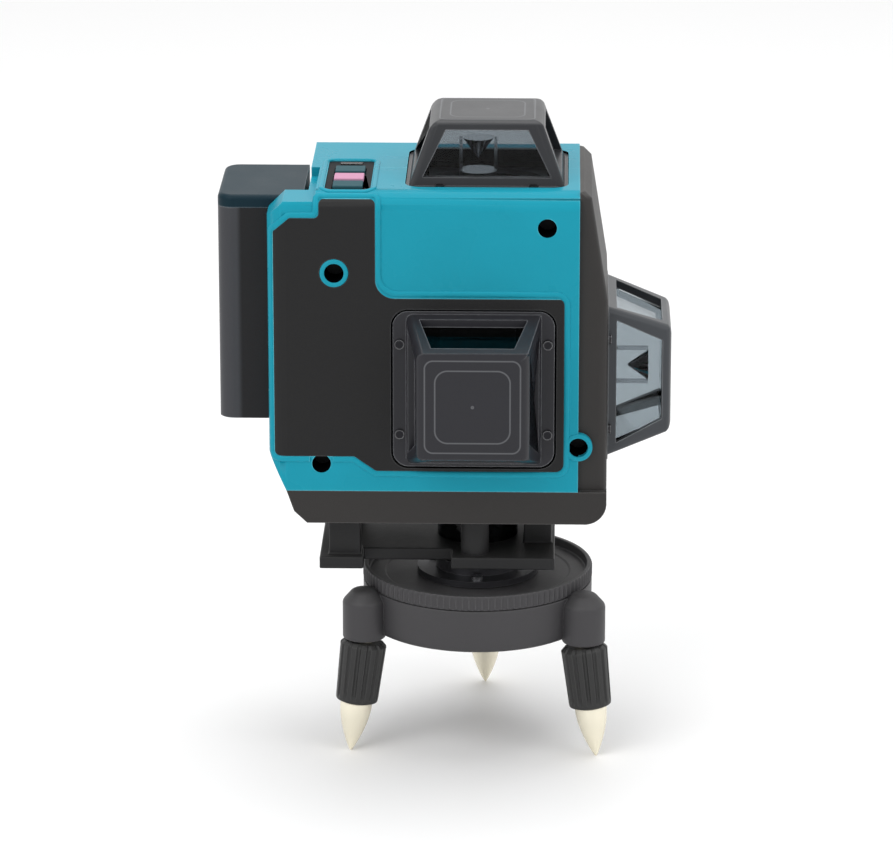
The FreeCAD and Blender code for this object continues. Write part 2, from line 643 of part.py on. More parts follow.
def panelCorners():
    """Corners of the dark inlay: tall on the left, and a frame round the square window."""
    return [
        (d.panel_left, d.panel_low_left), (d.panel_jog_x, d.panel_low_left),
        (d.panel_step_x, d.panel_low), (d.panel_right, d.panel_low), (d.panel_right, d.panel_mid),
        (d.panel_step_x, d.panel_mid), (d.panel_step_x, d.panel_top), (d.keypad_left, d.panel_top),
        (d.keypad_left, d.panel_ear_top), (d.panel_left + d.panel_ear_x, d.panel_ear_top),
        (d.panel_left, d.panel_ear_top - d.panel_ear_slope)]


def panelSketch(body, depth):
    sketch = polygon(sketchOn(body, "XZ_Plane", -d.case_front - depth), panelCorners())
    return circle(sketch, *screwPlaces()[0], d.screw_ring_radius)


def roundedPanelCorners(body):
    """Rounds the inlay's corners, the inner one under the brow more than the rest."""
    deepest = d.case_front.number + d.panel_depth.number

    def atCorner(edge, x, z):
        return runsAlong(edge, alongY) and edge.CenterOfMass.y < deepest and passes(edge, x=x, z=z)
    inner = (d.panel_step_x, d.panel_mid)
    rounded(body, d.panel_notch, lambda edge: atCorner(edge, *inner))
    rounded(body, d.panel_corner, lambda edge: not atCorner(edge, *inner)
            and any(atCorner(edge, x, z) for x, z in panelCorners()))


def browPoints(angle, edge):
    """Points down the quarter round between the front face and another face, up to an angle."""
    return [(d.case_front + d.brow_rounding * (1 - cosine(angle * share)),
             edge(d.brow_rounding * (1 - sine(angle * share)))) for share in (0, 0.4, 0.75, 1)]


def frontShell():
    body = newBody("front_shell")
    pad(body, polygon(sketchOn(body, "XY_Plane", d.case_split), [
        (d.case_left, d.case_front), (d.case_right, d.case_front), (d.case_right, 0),
        (d.neck_left, 0), (d.neck_left, d.ear_back), (d.case_left, d.ear_back)]), d.case_height)
    rounded(body, d.brow_rounding, lambda edge: passes(edge, y=d.case_front, z=d.case_top)
            or passes(edge, x=d.case_left, y=d.case_front))
    pocket(body, rectangle(sketchOn(body, "XY_Plane", d.case_split), d.neck_left + d.side_wall,
                           d.case_right + overshoot, d.case_front + d.face_wall, overshoot),
           d.case_height - d.top_wall, backwards=True)
    pocket(body, rectangle(sketchOn(body, "XY_Plane", d.case_split + d.skirt_rise),
                           d.case_left + d.side_wall, d.neck_left + d.side_wall,
                           d.case_front + d.face_wall, d.ear_back - d.side_wall),
           d.ear_room_top - d.case_split - d.skirt_rise, backwards=True)
    pocket(body, skirtCut(body, -d.case_front), -d.case_front)
    earRight = d.keypad_left - overshoot
    pocket(body, polygon(sketchOn(body, "XZ_Plane", -d.case_front), [
        (d.case_left - overshoot, d.case_top + overshoot),
        (d.case_left - overshoot, d.ear_top - d.ear_chamfer), (d.case_left, d.ear_top - d.ear_chamfer),
        (d.case_left + d.ear_chamfer, d.ear_top), (earRight, d.ear_top),
        (earRight, d.case_top + overshoot)]), -d.case_front)
    pad(body, atScrews(sketchOn(body, "XZ_Plane"), d.case_boss_radius), -d.case_front - d.face_wall / 2)
    pocket(body, atScrews(sketchOn(body, "XZ_Plane", -d.case_front), d.case_screw_hole),
           d.counterbore_depth)
    pocket(body, atScrews(sketchOn(body, "XZ_Plane", -d.case_front), d.case_screw_shank), -d.case_front)
    pocket(body, panelSketch(body, 0), d.panel_depth)
    roundedPanelCorners(body)
    pocket(body, square(sketchOn(body, "XZ_Plane", -d.case_front), d.window_offset, d.window_centre,
                        d.cage_hole_half), d.face_wall + overshoot)
    holes = sketchOn(body, "XZ_Plane", -d.case_front)
    for across, along in cageScrewPlaces():
        circle(holes, d.window_offset + across, d.window_centre + along, d.cage_screw_radius)
    pocket(body, holes, d.face_wall)
    topOpenings(body)
    keyHoles = sketchOn(body, "XY_Plane", d.case_top)
    for number in range(3):
        keyHole(keyHoles, number)
    pocket(body, keyHoles, d.top_wall)
    return body


def skirtCut(body, offset):
    """Wedge off the lower left corner, where the side slopes in towards the bottom."""
    return polygon(sketchOn(body, "XZ_Plane", offset), [
        (d.case_left - overshoot, d.case_split - overshoot),
        (d.case_left + d.skirt_inset, d.case_split - overshoot),
        (d.case_left + d.skirt_inset, d.case_split), (d.case_left, d.case_split + d.skirt_rise),
        (d.case_left - overshoot, d.case_split + d.skirt_rise)])


def keyHole(sketch, number):
    y = d.first_key_y + d.key_pitch * number
    halfX, halfY = d.key_width / 2 + d.key_gap, d.key_depth / 2 + d.key_gap
    rectangle(sketch, d.key_x - halfX, d.key_x + halfX, y - halfY, y + halfY)


def rearShell():
    body = newBody("rear_shell")
    pad(body, rectangle(sketchOn(body, "XY_Plane", d.case_split), d.neck_left, d.case_right,
                        0, d.case_back), d.case_height)
    pocket(body, rectangle(sketchOn(body, "XY_Plane", d.case_split), d.neck_left + d.side_wall,
                           d.case_right + overshoot, -overshoot, d.case_back - d.face_wall),
           d.case_height - d.top_wall, backwards=True)
    pad(body, atScrews(sketchOn(body, "XZ_Plane"), d.case_boss_radius),
        d.case_back - d.face_wall / 2, backwards=True)
    pocket(body, atScrews(sketchOn(body, "XZ_Plane"), d.case_screw_shank),
           d.case_screw_reach + d.case_screw_tail)
    pocket(body, rectangle(sketchOn(body, "XZ_Plane", -d.case_back), *rearPanelSides()),
           d.panel_depth, backwards=True)
    topOpenings(body)
    slot = sketchOn(body, "XZ_Plane", -d.case_back)
    halfTravel = (d.lock_stem_width + d.lock_travel) / 2 + d.slide_gap
    middle = d.lock_x + d.lock_travel / 2
    halfSlot = d.lock_stem_height / 2 + d.slide_gap
    rectangle(slot, middle - halfTravel, middle + halfTravel, d.lock_z - halfSlot, d.lock_z + halfSlot)
    circle(slot, d.jack_x, d.jack_z, d.jack_nose_radius)
    pocket(body, slot, d.face_wall + overshoot, backwards=True)
    return body


def rearPanelSides():
    return (d.neck_left + d.rear_panel_margin, d.case_right - d.rear_panel_margin,
            d.case_split + d.rear_panel_low, d.case_top - d.rear_panel_high)


def frontPanel():
    """Dark inlay, whose upper edge follows the rounded brow of the case."""
    body = newBody("front_panel")
    outline = panelSketch(body, d.panel_depth)
    square(outline, d.window_offset, d.window_centre, d.window_half)
    pad(body, outline, d.panel_depth)
    roundedPanelCorners(body)
    corners = squareCorners(d.window_offset, d.window_centre, d.window_half)
    rounded(body, d.window_corner, lambda edge: runsAlong(edge, alongY)
            and any(passes(edge, x=x, z=z) for x, z in corners))
    top = browPoints(d.panel_brow_angle, lambda inset: d.case_top - inset)
    sides = [(top[-1][0], d.case_top), (d.case_front - overshoot, d.case_top),
             (d.case_front - overshoot, top[0][1])]
    pocket(body, polygon(sketchOn(body, "YZ_Plane", d.panel_step_x), top + sides),
           d.panel_step_x - d.keypad_left)
    left = [(x, y) for y, x in browPoints(d.panel_side_angle, lambda inset: d.case_left + inset)]
    sides = [(d.case_left, left[-1][1]), (d.case_left, d.case_front - overshoot),
             (left[0][0], d.case_front - overshoot)]
    pocket(body, polygon(sketchOn(body, "XY_Plane", d.case_top), left + sides), d.case_height)
    return body


def rearPanel():
    body = newBody("rear_panel")
    pad(body, rectangle(sketchOn(body, "XZ_Plane", -d.case_back), *rearPanelSides()), d.panel_depth)
    rounded(body, d.rear_panel_corner, lambda edge: runsAlong(edge, alongY))
    return body


def bottomShell():
    body = newBody("bottom_shell")
    splitLeft = d.case_left + d.skirt_inset
    pad(body, polygon(sketchOn(body, "XZ_Plane", -d.case_back), [
        (splitLeft + d.skirt_toe, d.case_bottom), (d.housing_right, d.case_bottom),
        (d.housing_right, d.case_split), (splitLeft, d.case_split),
        (splitLeft + d.skirt_heel, d.case_bottom + d.skirt_heel_rise)]), d.case_back - d.case_front)
    rounded(body, d.corner_rounding, lambda edge: runsAlong(edge, alongY)
            and passes(edge, x=d.housing_right, z=d.case_bottom))
    pocket(body, rectangle(sketchOn(body, "XY_Plane", d.case_split), splitLeft + d.skirt_toe,
                           d.housing_right - d.corner_rounding, d.case_front + d.side_wall,
                           d.case_back - d.side_wall), d.bottom_depth - d.side_wall)
    pocket(body, circle(sketchOn(body, "XY_Plane", d.case_split), 0, 0,
                        d.bottom_glass_radius - d.glass_wall), d.bottom_depth)
    return body


def sideHousing():
    """Dark side cover, bulging outwards towards its foot, behind the right-hand cage."""
    body = newBody("side_housing")
    halfDepth = d.housing_depth / 2
    pad(body, polygon(sketchOn(body, "XZ_Plane", -halfDepth), [
        (d.case_right, d.case_split), (d.housing_right, d.case_split),
        (d.housing_right, d.housing_shoulder), (d.housing_top_right, d.case_top - d.housing_brow),
        (d.housing_top_right - d.housing_brow, d.case_top), (d.case_right, d.case_top)]),
        d.housing_depth)
    rounded(body, d.housing_edge, lambda edge: len(edge.Vertexes) == 2
            and abs(abs(edge.CenterOfMass.y) - halfDepth.number) < 0.01
            and edge.CenterOfMass.x > d.housing_top_right.number - d.housing_brow.number
            and edge.CenterOfMass.z > d.case_split.number + overshoot)
    pocket(body, rectangle(sketchOn(body, "YZ_Plane", d.case_right), -halfDepth + d.side_wall,
                           halfDepth - d.side_wall, d.case_split + d.side_wall,
                           d.housing_shoulder + d.side_wall), d.housing_bulge - d.side_wall,
           backwards=True)
    pocket(body, square(sketchOn(body, "YZ_Plane", d.housing_right), 0, d.side_cage_z,
                        d.cage_recess_half), d.side_cage_recess)
    corners = squareCorners(0, d.side_cage_z, d.cage_recess_half)
    rounded(body, d.cage_corner + d.cage_fit, lambda edge: runsAlong(edge, alongX)
            and any(passes(edge, y=y, z=z) for y, z in corners))
    pocket(body, square(sketchOn(body, "YZ_Plane", d.housing_right), 0, d.side_cage_z,
                        d.cage_hole_half), d.side_wall + overshoot)
    holes = sketchOn(body, "YZ_Plane", d.housing_right)
    for across, along in cageScrewPlaces():
        circle(holes, across, d.side_cage_z + along, d.cage_screw_radius)
    pocket(body, holes, d.side_wall + overshoot)
    pocket(body, circle(sketchOn(body, "XZ_Plane", -halfDepth), *screwPlaces()[3], d.case_boss_radius),
           d.housing_depth, backwards=True)
    return body


def caseScrews():
    screws = []
    seat = d.case_front + d.counterbore_depth
    for index, (x, z) in enumerate(screwPlaces(), start=1):
        head = cylinder("case_head_%d" % index, (x, seat, z), d.case_screw_head,
                        d.case_screw_head_height, towardsFront)
        shank = cylinder("case_shank_%d" % index, (x, seat, z), d.case_screw_shank,
                         d.case_screw_reach - seat, towardsBack)
        screws.append(fused("case_screw_%d" % index, [head, shank]))
    return group("case_screws", screws)


# ---- cages -------------------------------------------------------------------------------------

def cageTurns():
    """Turns that send a cage's own +Y out of the case, and its screw side to the right place."""
    topTurn = FreeCAD.Rotation(Vector(1, 1, 1), 120)
    return {
        "front": ((d.window_offset, d.case_front + d.panel_depth, d.window_centre),
                  FreeCAD.Rotation(alongZ, 180)),
        "top": ((d.top_cage_x, 0, d.top_cage_seat), topTurn),
        "side": ((d.side_cage_seat, 0, d.side_cage_z), FreeCAD.Rotation(alongZ, -90)),
    }


def cageFlange(name):
    """Square foot of a cage, with rounded corners."""
    body = newBody(name)
    outline = square(sketchOn(body, "XZ_Plane"), 0, 0, d.cage_flange_half)
    pad(body, outline, d.cage_flange, backwards=True)
    rounded(body, d.cage_corner, lambda edge: runsAlong(edge, alongY))
    return body


def cageFrame(side, place, turn):
    """Flange, four slanted corner posts and a closed cap, open on its four slanted sides."""
    name = side + "_cage"
    rise = d.cage_height - d.cage_flange
    outer = taper(name + "_outer", d.cage_flange, rise, d.cage_narrow_half, d.cage_cap_half,
                  d.cage_wide_half, d.cage_cap_half)
    inner = taper(name + "_inner", 0, d.cage_height - d.cage_wall, *cageRoom(0))
    low, high = d.cage_flange + d.cage_sill, rise - d.cage_lintel
    far = d.cage_flange_half + d.cage_corner
    sideWindow = taper(name + "_side_window", low, high, far, far,
                       d.cage_wide_half - d.cage_post, d.cage_cap_half - d.cage_post)
    endWindow = taper(name + "_end_window", low, high, d.cage_narrow_half - d.cage_post,
                      d.cage_cap_half - d.cage_post, far, far)
    capInlay = boxBetween(name + "_inlay",
                          (-d.cap_inlay_half, d.cage_height - d.cap_inlay, -d.cap_inlay_half),
                          (d.cap_inlay_half, d.cage_height + overshoot, d.cap_inlay_half))
    screwHoles = [cylinder(name + "_screw_hole_%d" % index, (across, -overshoot, along),
                           d.cage_screw_radius, d.cage_flange + overshoot * 2, towardsBack)
                  for index, (across, along) in enumerate(cageScrewPlaces())]
    openings = fused(name + "_openings", [inner, sideWindow, endWindow, capInlay] + screwHoles)
    solid = cut(name + "_open", fused(name + "_solid", [cageFlange(name + "_flange"), outer]), openings)
    nub = cylinder(name + "_nub", (0, d.cage_height - d.cap_inlay, 0), d.cap_nub, d.cap_inlay, towardsBack)
    return placed(fused(name + "_frame", [solid, nub]), place, turn)


def cageRoom(inset):
    """Half widths of the room in a cage at its seat and under its cap, less an inset."""
    inset = d.cage_wall + inset
    return (d.cage_narrow_half - inset, d.cage_cap_half - inset,
            d.cage_wide_half - inset, d.cage_cap_half - inset)


def cageGlass(side, place, turn):
    name = side + "_glass"
    outer = taper(name + "_outer", 0, d.cage_height - d.cage_wall, *cageRoom(0))
    inner = taper(name + "_inner", 0, d.cage_height - d.cage_wall - d.cage_glass,
                  *cageRoom(d.cage_glass))
    return placed(cut(name, outer, inner), place, turn)


def cageScrews():
    sets = []
    for side, (place, turn) in cageTurns().items():
        screws = []
        for index, (across, along) in enumerate(cageScrewPlaces()):
            name = "%s_cage_screw_%d" % (side, index + 1)
            shank = cylinder(name + "_shank", (across, -d.cage_screw_tail, along), d.cage_screw_radius,
                             d.cage_flange + d.cage_screw_tail, towardsBack)
            head = cylinder(name + "_head", (across, d.cage_flange, along), d.cage_screw_head,
                            d.cage_head_height, towardsBack)
            screws.append(fused(name, [shank, head]))
        sets.append(placed(group(side + "_cage_screws", screws), place, turn))
    return group("cage_screws", sets)


# ---- keypad ------------------------------------------------------------------------------------

def keypadPanel():
    body = newBody("keypad_panel")
    outline = rectangle(sketchOn(body, "XY_Plane", d.case_top - d.pad_recess), d.pad_left,
                        d.pad_right, d.pad_front, d.pad_back)
    for number in range(3):
        keyHole(outline, number)
    rectangle(outline, *lensSides())
    pad(body, outline, d.pad_thickness)
    return body


def lensSides():
    back = d.pad_back - d.lens_back
    return (d.key_x - d.lens_half, d.key_x + d.lens_half, back - d.lens_depth, back)


def statusLens():
    body = newBody("status_lens")
    pad(body, rectangle(sketchOn(body, "XY_Plane", d.case_top - d.pad_recess), *lensSides()),
        d.pad_recess)
    return body


def key(number):
    """Key with the lip that keeps it under the top wall."""
    body = newBody("key_%d" % (number + 1))
    y = d.first_key_y + d.key_pitch * number
    halfX, halfY = d.key_width / 2, d.key_depth / 2
    lipTop = d.case_top - d.top_wall - d.key_gap
    pad(body, rectangle(sketchOn(body, "XY_Plane", d.key_bottom), d.key_x - halfX - d.key_lip,
                        d.key_x + halfX + d.key_lip, y - halfY - d.key_lip, y + halfY + d.key_lip),
        lipTop - d.key_bottom)
    pad(body, rectangle(sketchOn(body, "XY_Plane", lipTop), d.key_x - halfX, d.key_x + halfX,
                        y - halfY, y + halfY), d.key_top - lipTop)
    return body


def keyBoard():
    body = newBody("key_board")
    pad(body, rectangle(sketchOn(body, "XY_Plane", d.key_board_bottom), d.neck_left + d.side_wall,
                        d.board_x, d.case_front + d.face_wall, d.pad_back), d.board_thickness)
    switches = sketchOn(body, "XY_Plane", d.key_board_bottom + d.board_thickness)
    for number in range(3):
        square(switches, d.key_x, d.first_key_y + d.key_pitch * number, d.switch_half)
    pad(body, switches, d.switch_height)
    return body


def mainBoard():
    body = newBody("main_board")
    pad(body, rectangle(sketchOn(body, "YZ_Plane", d.board_x), d.case_front + d.face_wall,
                        d.case_back - d.face_wall, d.board_low, d.key_board_bottom + d.board_thickness),
        d.board_thickness)
    return body


# ---- battery and dock --------------------------------------------------------------------------

def railOutline(sketch, gap):
    """Two T rails standing out of the dock plate, grown by a gap for the slots that take them."""
    root = d.neck_left - d.dock_plate
    neck, head = d.rail_neck / 2 + gap, d.rail_head / 2 + gap
    step = root - d.rail_reach + gap
    tip = root - d.rail_reach * 2 - gap
    for side in (-1, 1):
        y = d.rail_y * side + d.rail_middle
        polygon(sketch, [(root, y - neck), (step, y - neck), (step, y - head), (tip, y - head),
                         (tip, y + head), (step, y + head), (step, y + neck), (root, y + neck)])
    return sketch


def batteryDock():
    body = newBody("battery_dock")
    pad(body, rectangle(sketchOn(body, "XY_Plane", d.case_split), d.case_left, d.neck_left,
                        d.ear_back, d.case_back), d.ledge_rise)
    pocket(body, skirtCut(body, -d.ear_back), d.case_back - d.ear_back)
    pad(body, rectangle(sketchOn(body, "XY_Plane", d.ledge_top), d.neck_left - d.dock_plate,
                        d.neck_left, d.ear_back, d.battery_back), d.rail_top - d.ledge_top)
    pad(body, railOutline(sketchOn(body, "XY_Plane", d.ledge_top), 0), d.rail_top - d.ledge_top)
    sockets = sketchOn(body, "XY_Plane", d.ledge_top)
    for y in contactPlaces():
        square(sockets, d.contact_x, y, d.contact_half)
    pocket(body, sockets, d.contact_depth)
    return body


def contactPlaces():
    return [d.rail_middle + d.contact_pitch * step for step in (-1, 0, 1)]


def contactBlocks(name, low, high):
    left, right = d.contact_x - d.contact_half, d.contact_x + d.contact_half
    blocks = [boxBetween("%s_%d" % (name, index), (left, y - d.contact_half, low),
                         (right, y + d.contact_half, high))
              for index, y in enumerate(contactPlaces(), start=1)]
    return group(name, blocks)


def batteryCase():
    """Battery housing, rounded outside, open at the top, with a slot for each dock rail."""
    body = newBody("battery_case")
    height = d.battery_top - d.battery_lid - d.battery_bottom
    pad(body, rectangle(sketchOn(body, "XY_Plane", d.battery_bottom), d.battery_left,
                        d.battery_right, d.battery_front, d.battery_back), height)
    rounded(body, d.battery_rounding, lambda edge: runsAlong(edge, alongZ)
            and passes(edge, x=d.battery_left))
    room = sketchOn(body, "XY_Plane", d.battery_bottom + height)
    rectangle(room, *cellRoom())
    pocket(body, room, height - d.battery_wall)
    slots = railOutline(sketchOn(body, "XY_Plane", d.battery_bottom), d.slide_gap)
    pocket(body, slots, d.rail_top + overshoot - d.battery_bottom, backwards=True)
    sockets = sketchOn(body, "XY_Plane", d.battery_bottom)
    for y in contactPlaces():
        square(sockets, d.contact_x, y, d.contact_half)
    pocket(body, sockets, d.battery_contact, backwards=True)
    return body


def cellRoom():
    left = d.battery_left + d.battery_wall
    return (left, left + d.cell_radius * 2, d.battery_front + d.battery_wall,
            d.battery_back - d.battery_wall)


def batteryCover():
    body = newBody("battery_cover")
    pad(body, rectangle(sketchOn(body, "XY_Plane", d.battery_top - d.battery_lid), d.battery_left,
                        d.battery_right, d.battery_front, d.battery_back), d.battery_lid)
    rounded(body, d.battery_rounding, lambda edge: runsAlong(edge, alongZ)
            and passes(edge, x=d.battery_left))
    rounded(body, d.battery_lid_edge, lambda edge: passes(edge, z=d.battery_top)
            and edge.CenterOfMass.x < d.battery_right.number - overshoot)
    return body


def batteryCells():
    left, right, front, back = cellRoom()
    bottom = d.battery_bottom + d.battery_wall
    places = (front + d.cell_radius, back - d.cell_radius)
    cells = [cylinder("battery_cell_%d" % index, ((left + right) / 2, y, bottom), d.cell_radius,
                      d.cell_length) for index, y in enumerate(places, start=1)]
    return group("battery_cells", cells)


# ---- pendulum ----------------------------------------------------------------------------------

def gimbalBracket():
    """Plate under the top wall with two lugs that carry the outer gimbal pins."""
    body = newBody("gimbal_bracket")
    plateBottom = d.case_top - d.top_wall - d.bracket_plate
    plate = rectangle(sketchOn(body, "XY_Plane", plateBottom), -d.lug_outer, d.lug_outer,
                      -d.bracket_half, d.bracket_half)
    circle(plate, d.top_cage_x, 0, d.cage_hole_half)
    pad(body, plate, d.bracket_plate)
    lugBottom = d.pivot_height - d.lug_half
    lugs = sketchOn(body, "XY_Plane", lugBottom)
    rectangle(lugs, d.lug_inner, d.lug_outer, -d.lug_half, d.lug_half)
    rectangle(lugs, -d.lug_outer, -d.lug_inner, -d.lug_half, d.lug_half)
    pad(body, lugs, plateBottom - lugBottom)
    pocket(body, circle(sketchOn(body, "YZ_Plane", d.lug_outer), 0, d.pivot_height, d.pin_radius),
           d.lug_outer * 2)
    return body


def gimbalPins(name, turn, start, end):
    """Two pins on one axis, either side of the middle."""
    pins = []
    for index, offset in enumerate((-end, start), start=1):
        place = (offset, 0, d.pivot_height) if turn is towardsRight else (0, offset, d.pivot_height)
        pins.append(cylinder("%s_%d" % (name, index), place, d.pin_radius, end - start, turn))
    return group(name, pins)


def gimbalRing():
    body = newBody("gimbal_ring")
    low = d.pivot_height - d.ring_height / 2
    turned(body, rectangle(sketchOn(body, "XZ_Plane"), d.ring_inner, d.ring_outer,
                           low, low + d.ring_height))
    outside = d.ring_outer + overshoot
    pocket(body, circle(sketchOn(body, "YZ_Plane", outside), 0, d.pivot_height,
                        d.pin_radius + d.running_gap), outside * 2)
    pocket(body, circle(sketchOn(body, "XZ_Plane", outside), 0, d.pivot_height, d.pin_radius),
           outside * 2)
    return body


def pendulumFrame():
    body = newBody("pendulum_frame")
    pad(body, rectangle(sketchOn(body, "XY_Plane", d.neck_bottom), -d.neck_half_x, d.neck_half_x,
                        -d.neck_half_y, d.neck_half_y), d.neck_height)
    pad(body, square(sketchOn(body, "XY_Plane", d.column_bottom), 0, 0, d.column_half),
        d.neck_bottom - d.column_bottom)
    pocket(body, circle(sketchOn(body, "XZ_Plane", d.neck_half_y), 0, d.pivot_height,
                        d.pin_radius + d.running_gap), d.neck_half_y * 2)
    pocket(body, circle(sketchOn(body, "XY_Plane", d.neck_bottom + d.neck_height), 0, 0,
                        d.barrel_radius), d.neck_height + d.top_barrel_seat)
    pocket(body, circle(sketchOn(body, "XZ_Plane", d.column_half), 0, d.window_centre,
                        d.barrel_radius), d.barrel_seat)
    pocket(body, circle(sketchOn(body, "YZ_Plane", d.column_half), 0, d.side_cage_z,
                        d.barrel_radius), d.barrel_seat)
    pocket(body, circle(sketchOn(body, "XY_Plane", d.column_bottom), 0, 0, d.low_barrel_radius),
           d.low_barrel_seat, backwards=True)
    return body


def laserModules():
    """The four laser barrels, as name, place, turn, radius and length."""
    inset = d.column_half - d.barrel_seat
    return [
        ("top_laser", (0, 0, d.neck_bottom - d.top_barrel_seat), uprightTurn, d.barrel_radius,
         d.top_barrel),
        ("front_laser", (0, -inset, d.window_centre), towardsFront, d.barrel_radius, d.front_barrel),
        ("side_laser", (inset, 0, d.side_cage_z), towardsRight, d.barrel_radius, d.side_barrel),
        ("bottom_laser", (0, 0, d.column_bottom + d.low_barrel_seat), towardsFloor,
         d.low_barrel_radius, d.low_barrel),
    ]


def laserBarrel(name, place, turn, radius, length):
    """Laser barrel with two thin struts that hold its cone mirror off the lens."""
    body = newBody(name)
    pad(body, circle(sketchOn(body, "XY_Plane"), 0, 0, radius), length)
    struts = sketchOn(body, "XY_Plane", length)
    halfDepth = d.strut_depth / 2
    rectangle(struts, radius - d.strut_width, radius, -halfDepth, halfDepth)
    rectangle(struts, -radius, -radius + d.strut_width, -halfDepth, halfDepth)
    pad(body, struts, d.mirror_gap + d.mirror_length)
    return placed(body, place, turn)


def coneMirrors():
    mirrors = []
    for name, place, turn, radius, length in laserModules():
        cone = primitive("Part::Cone", name + "_cone", (0, 0, length + d.mirror_gap),
                         Radius1=d.mirror_tip, Radius2=radius - d.strut_width, Height=d.mirror_length)
        mirrors.append(placed(group(name + "_mirror", [cone]), place, turn))
    return group("cone_mirrors", mirrors)


def dampingMagnets():
    magnets = []
    for index in range(4):
        x, y = onCircle(d.magnet_circle, 45 + 90 * index)
        magnets.append(cylinder("magnet_%d" % (index + 1), (x, y, d.case_bottom + d.side_wall),
                                d.magnet_radius, d.magnet_height))
    return group("damping_magnets", magnets)


# ---- rear fittings -----------------------------------------------------------------------------

def chargeJack():
    """Barrel socket behind the rear wall, with its centre pin."""
    back = d.case_back - d.face_wall
    mouth = d.case_back - d.jack_inset
    bottom = mouth - d.jack_bore_depth
    block = boxBetween("jack_block", (d.jack_x - d.jack_half, back - d.jack_length, d.jack_z - d.jack_half),
                       (d.jack_x + d.jack_half, back, d.jack_z + d.jack_half))
    nose = cylinder("jack_nose", (d.jack_x, back - overshoot, d.jack_z), d.jack_nose_radius,
                    mouth - back + overshoot, towardsBack)
    bore = cylinder("jack_bore", (d.jack_x, bottom, d.jack_z), d.jack_bore_radius,
                    d.jack_bore_depth + overshoot, towardsBack)
    pin = cylinder("jack_pin", (d.jack_x, bottom - overshoot, d.jack_z), d.jack_pin_radius,
                   d.jack_bore_depth, towardsBack)
    return fused("charge_jack", [cut("jack_socket", fused("jack_solid", [block, nose]), bore), pin])


def lockSwitch():
    """Sliding pendulum lock: thumb piece outside, stem in the slot, tongue inside."""
    def plate(name, width, height, front, back):
        return boxBetween(name, (d.lock_x - width / 2, front, d.lock_z - height / 2),
                          (d.lock_x + width / 2, back, d.lock_z + height / 2))
    outside = d.case_back + d.slide_gap
    inside = d.case_back - d.face_wall - d.slide_gap
    return fused("lock_switch", [
        plate("lock_knob", d.lock_knob_width, d.lock_knob_height, outside, outside + d.lock_knob_depth),
        plate("lock_stem", d.lock_stem_width, d.lock_stem_height, inside - overshoot, outside + overshoot),
        plate("lock_tongue", d.lock_tongue_width, d.lock_tongue_height,
              inside - d.lock_tongue_depth, inside)])


# ---- all pieces --------------------------------------------------------------------------------

keep(tripodBase())
keep(ring("thread_insert", d.tripod_thread_radius, d.insert_radius, 0, d.insert_length))
keep(turntableDish())
keep(ring("pivot_washer", d.pivot_shank_radius, d.washer_radius, d.spindle_top,
          d.spindle_top + d.washer_thickness))
keep(pivotScrew(), studPlate(), studScrews())
for number in (1, 2, 3):
    keep(footTip(number), footKnob(number))
keep(bottomBracket())
keep(ring("bracket_insert", d.stud_radius + d.running_gap, d.bracket_insert_radius,
          d.foot_plate_bottom, d.foot_plate_top))
keep(ring("bottom_glass", d.bottom_glass_radius - d.glass_wall, d.bottom_glass_radius,
          d.foot_plate_top, d.case_bottom))
keep(frontShell(), rearShell(), frontPanel(), rearPanel(), bottomShell(), sideHousing(), caseScrews())
for side, (place, turn) in cageTurns().items():
    keep(cageFrame(side, place, turn), cageGlass(side, place, turn))
keep(cageScrews())
keep(keypadPanel(), statusLens(), keyBoard(), mainBoard())
for number in range(3):
    keep(key(number))
keep(batteryDock(), contactBlocks("dock_contacts", d.ledge_top - d.contact_depth,
                                  d.ledge_top + d.contact_proud))
keep(batteryCase(), batteryCover(), batteryCells())
keep(contactBlocks("battery_contacts", d.battery_bottom, d.battery_bottom + d.battery_contact))
keep(gimbalBracket(), gimbalRing(), pendulumFrame())
keep(gimbalPins("outer_pins", towardsRight, d.ring_inner + overshoot, d.lug_outer))
keep(gimbalPins("inner_pins", towardsBack, d.neck_half_y - d.pin_bite, d.ring_outer - d.pin_inset))
for module in laserModules():
    keep(laserBarrel(*module))
keep(coneMirrors())
keep(ring("damping_plate", d.low_barrel_radius, d.damper_radius, d.damper_bottom,
          d.damper_bottom + d.damper_thickness))
keep(dampingMagnets(), chargeJack(), lockSwitch())

# ---- checks and files --------------------------------------------------------------------------

doc.recompute()
for thing in doc.Objects:
    if "Invalid" in thing.State or "Error" in thing.State:
        raise RuntimeError("%s did not build: %s" % (thing.Name, thing.State))
    if thing.TypeId in ("PartDesign::Pocket", "PartDesign::Groove"):
        if thing.Shape.Volume > thing.BaseFeature.Shape.Volume - 1e-3:
            raise RuntimeError("%s cuts nothing" % thing.Name)
for piece in nodes:
    if piece.Shape.isNull() or not piece.Shape.isValid():
        raise RuntimeError("%s is not a valid solid" % piece.Label)

os.makedirs("parts", exist_ok=True)
for piece in nodes:
    piece.Shape.exportStep("parts/%s.step" % piece.Label)
print(len(nodes), "pieces written")
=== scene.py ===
import json
import math
import bpy
import bmesh
import numpy as np
from mathutils import Matrix, Vector


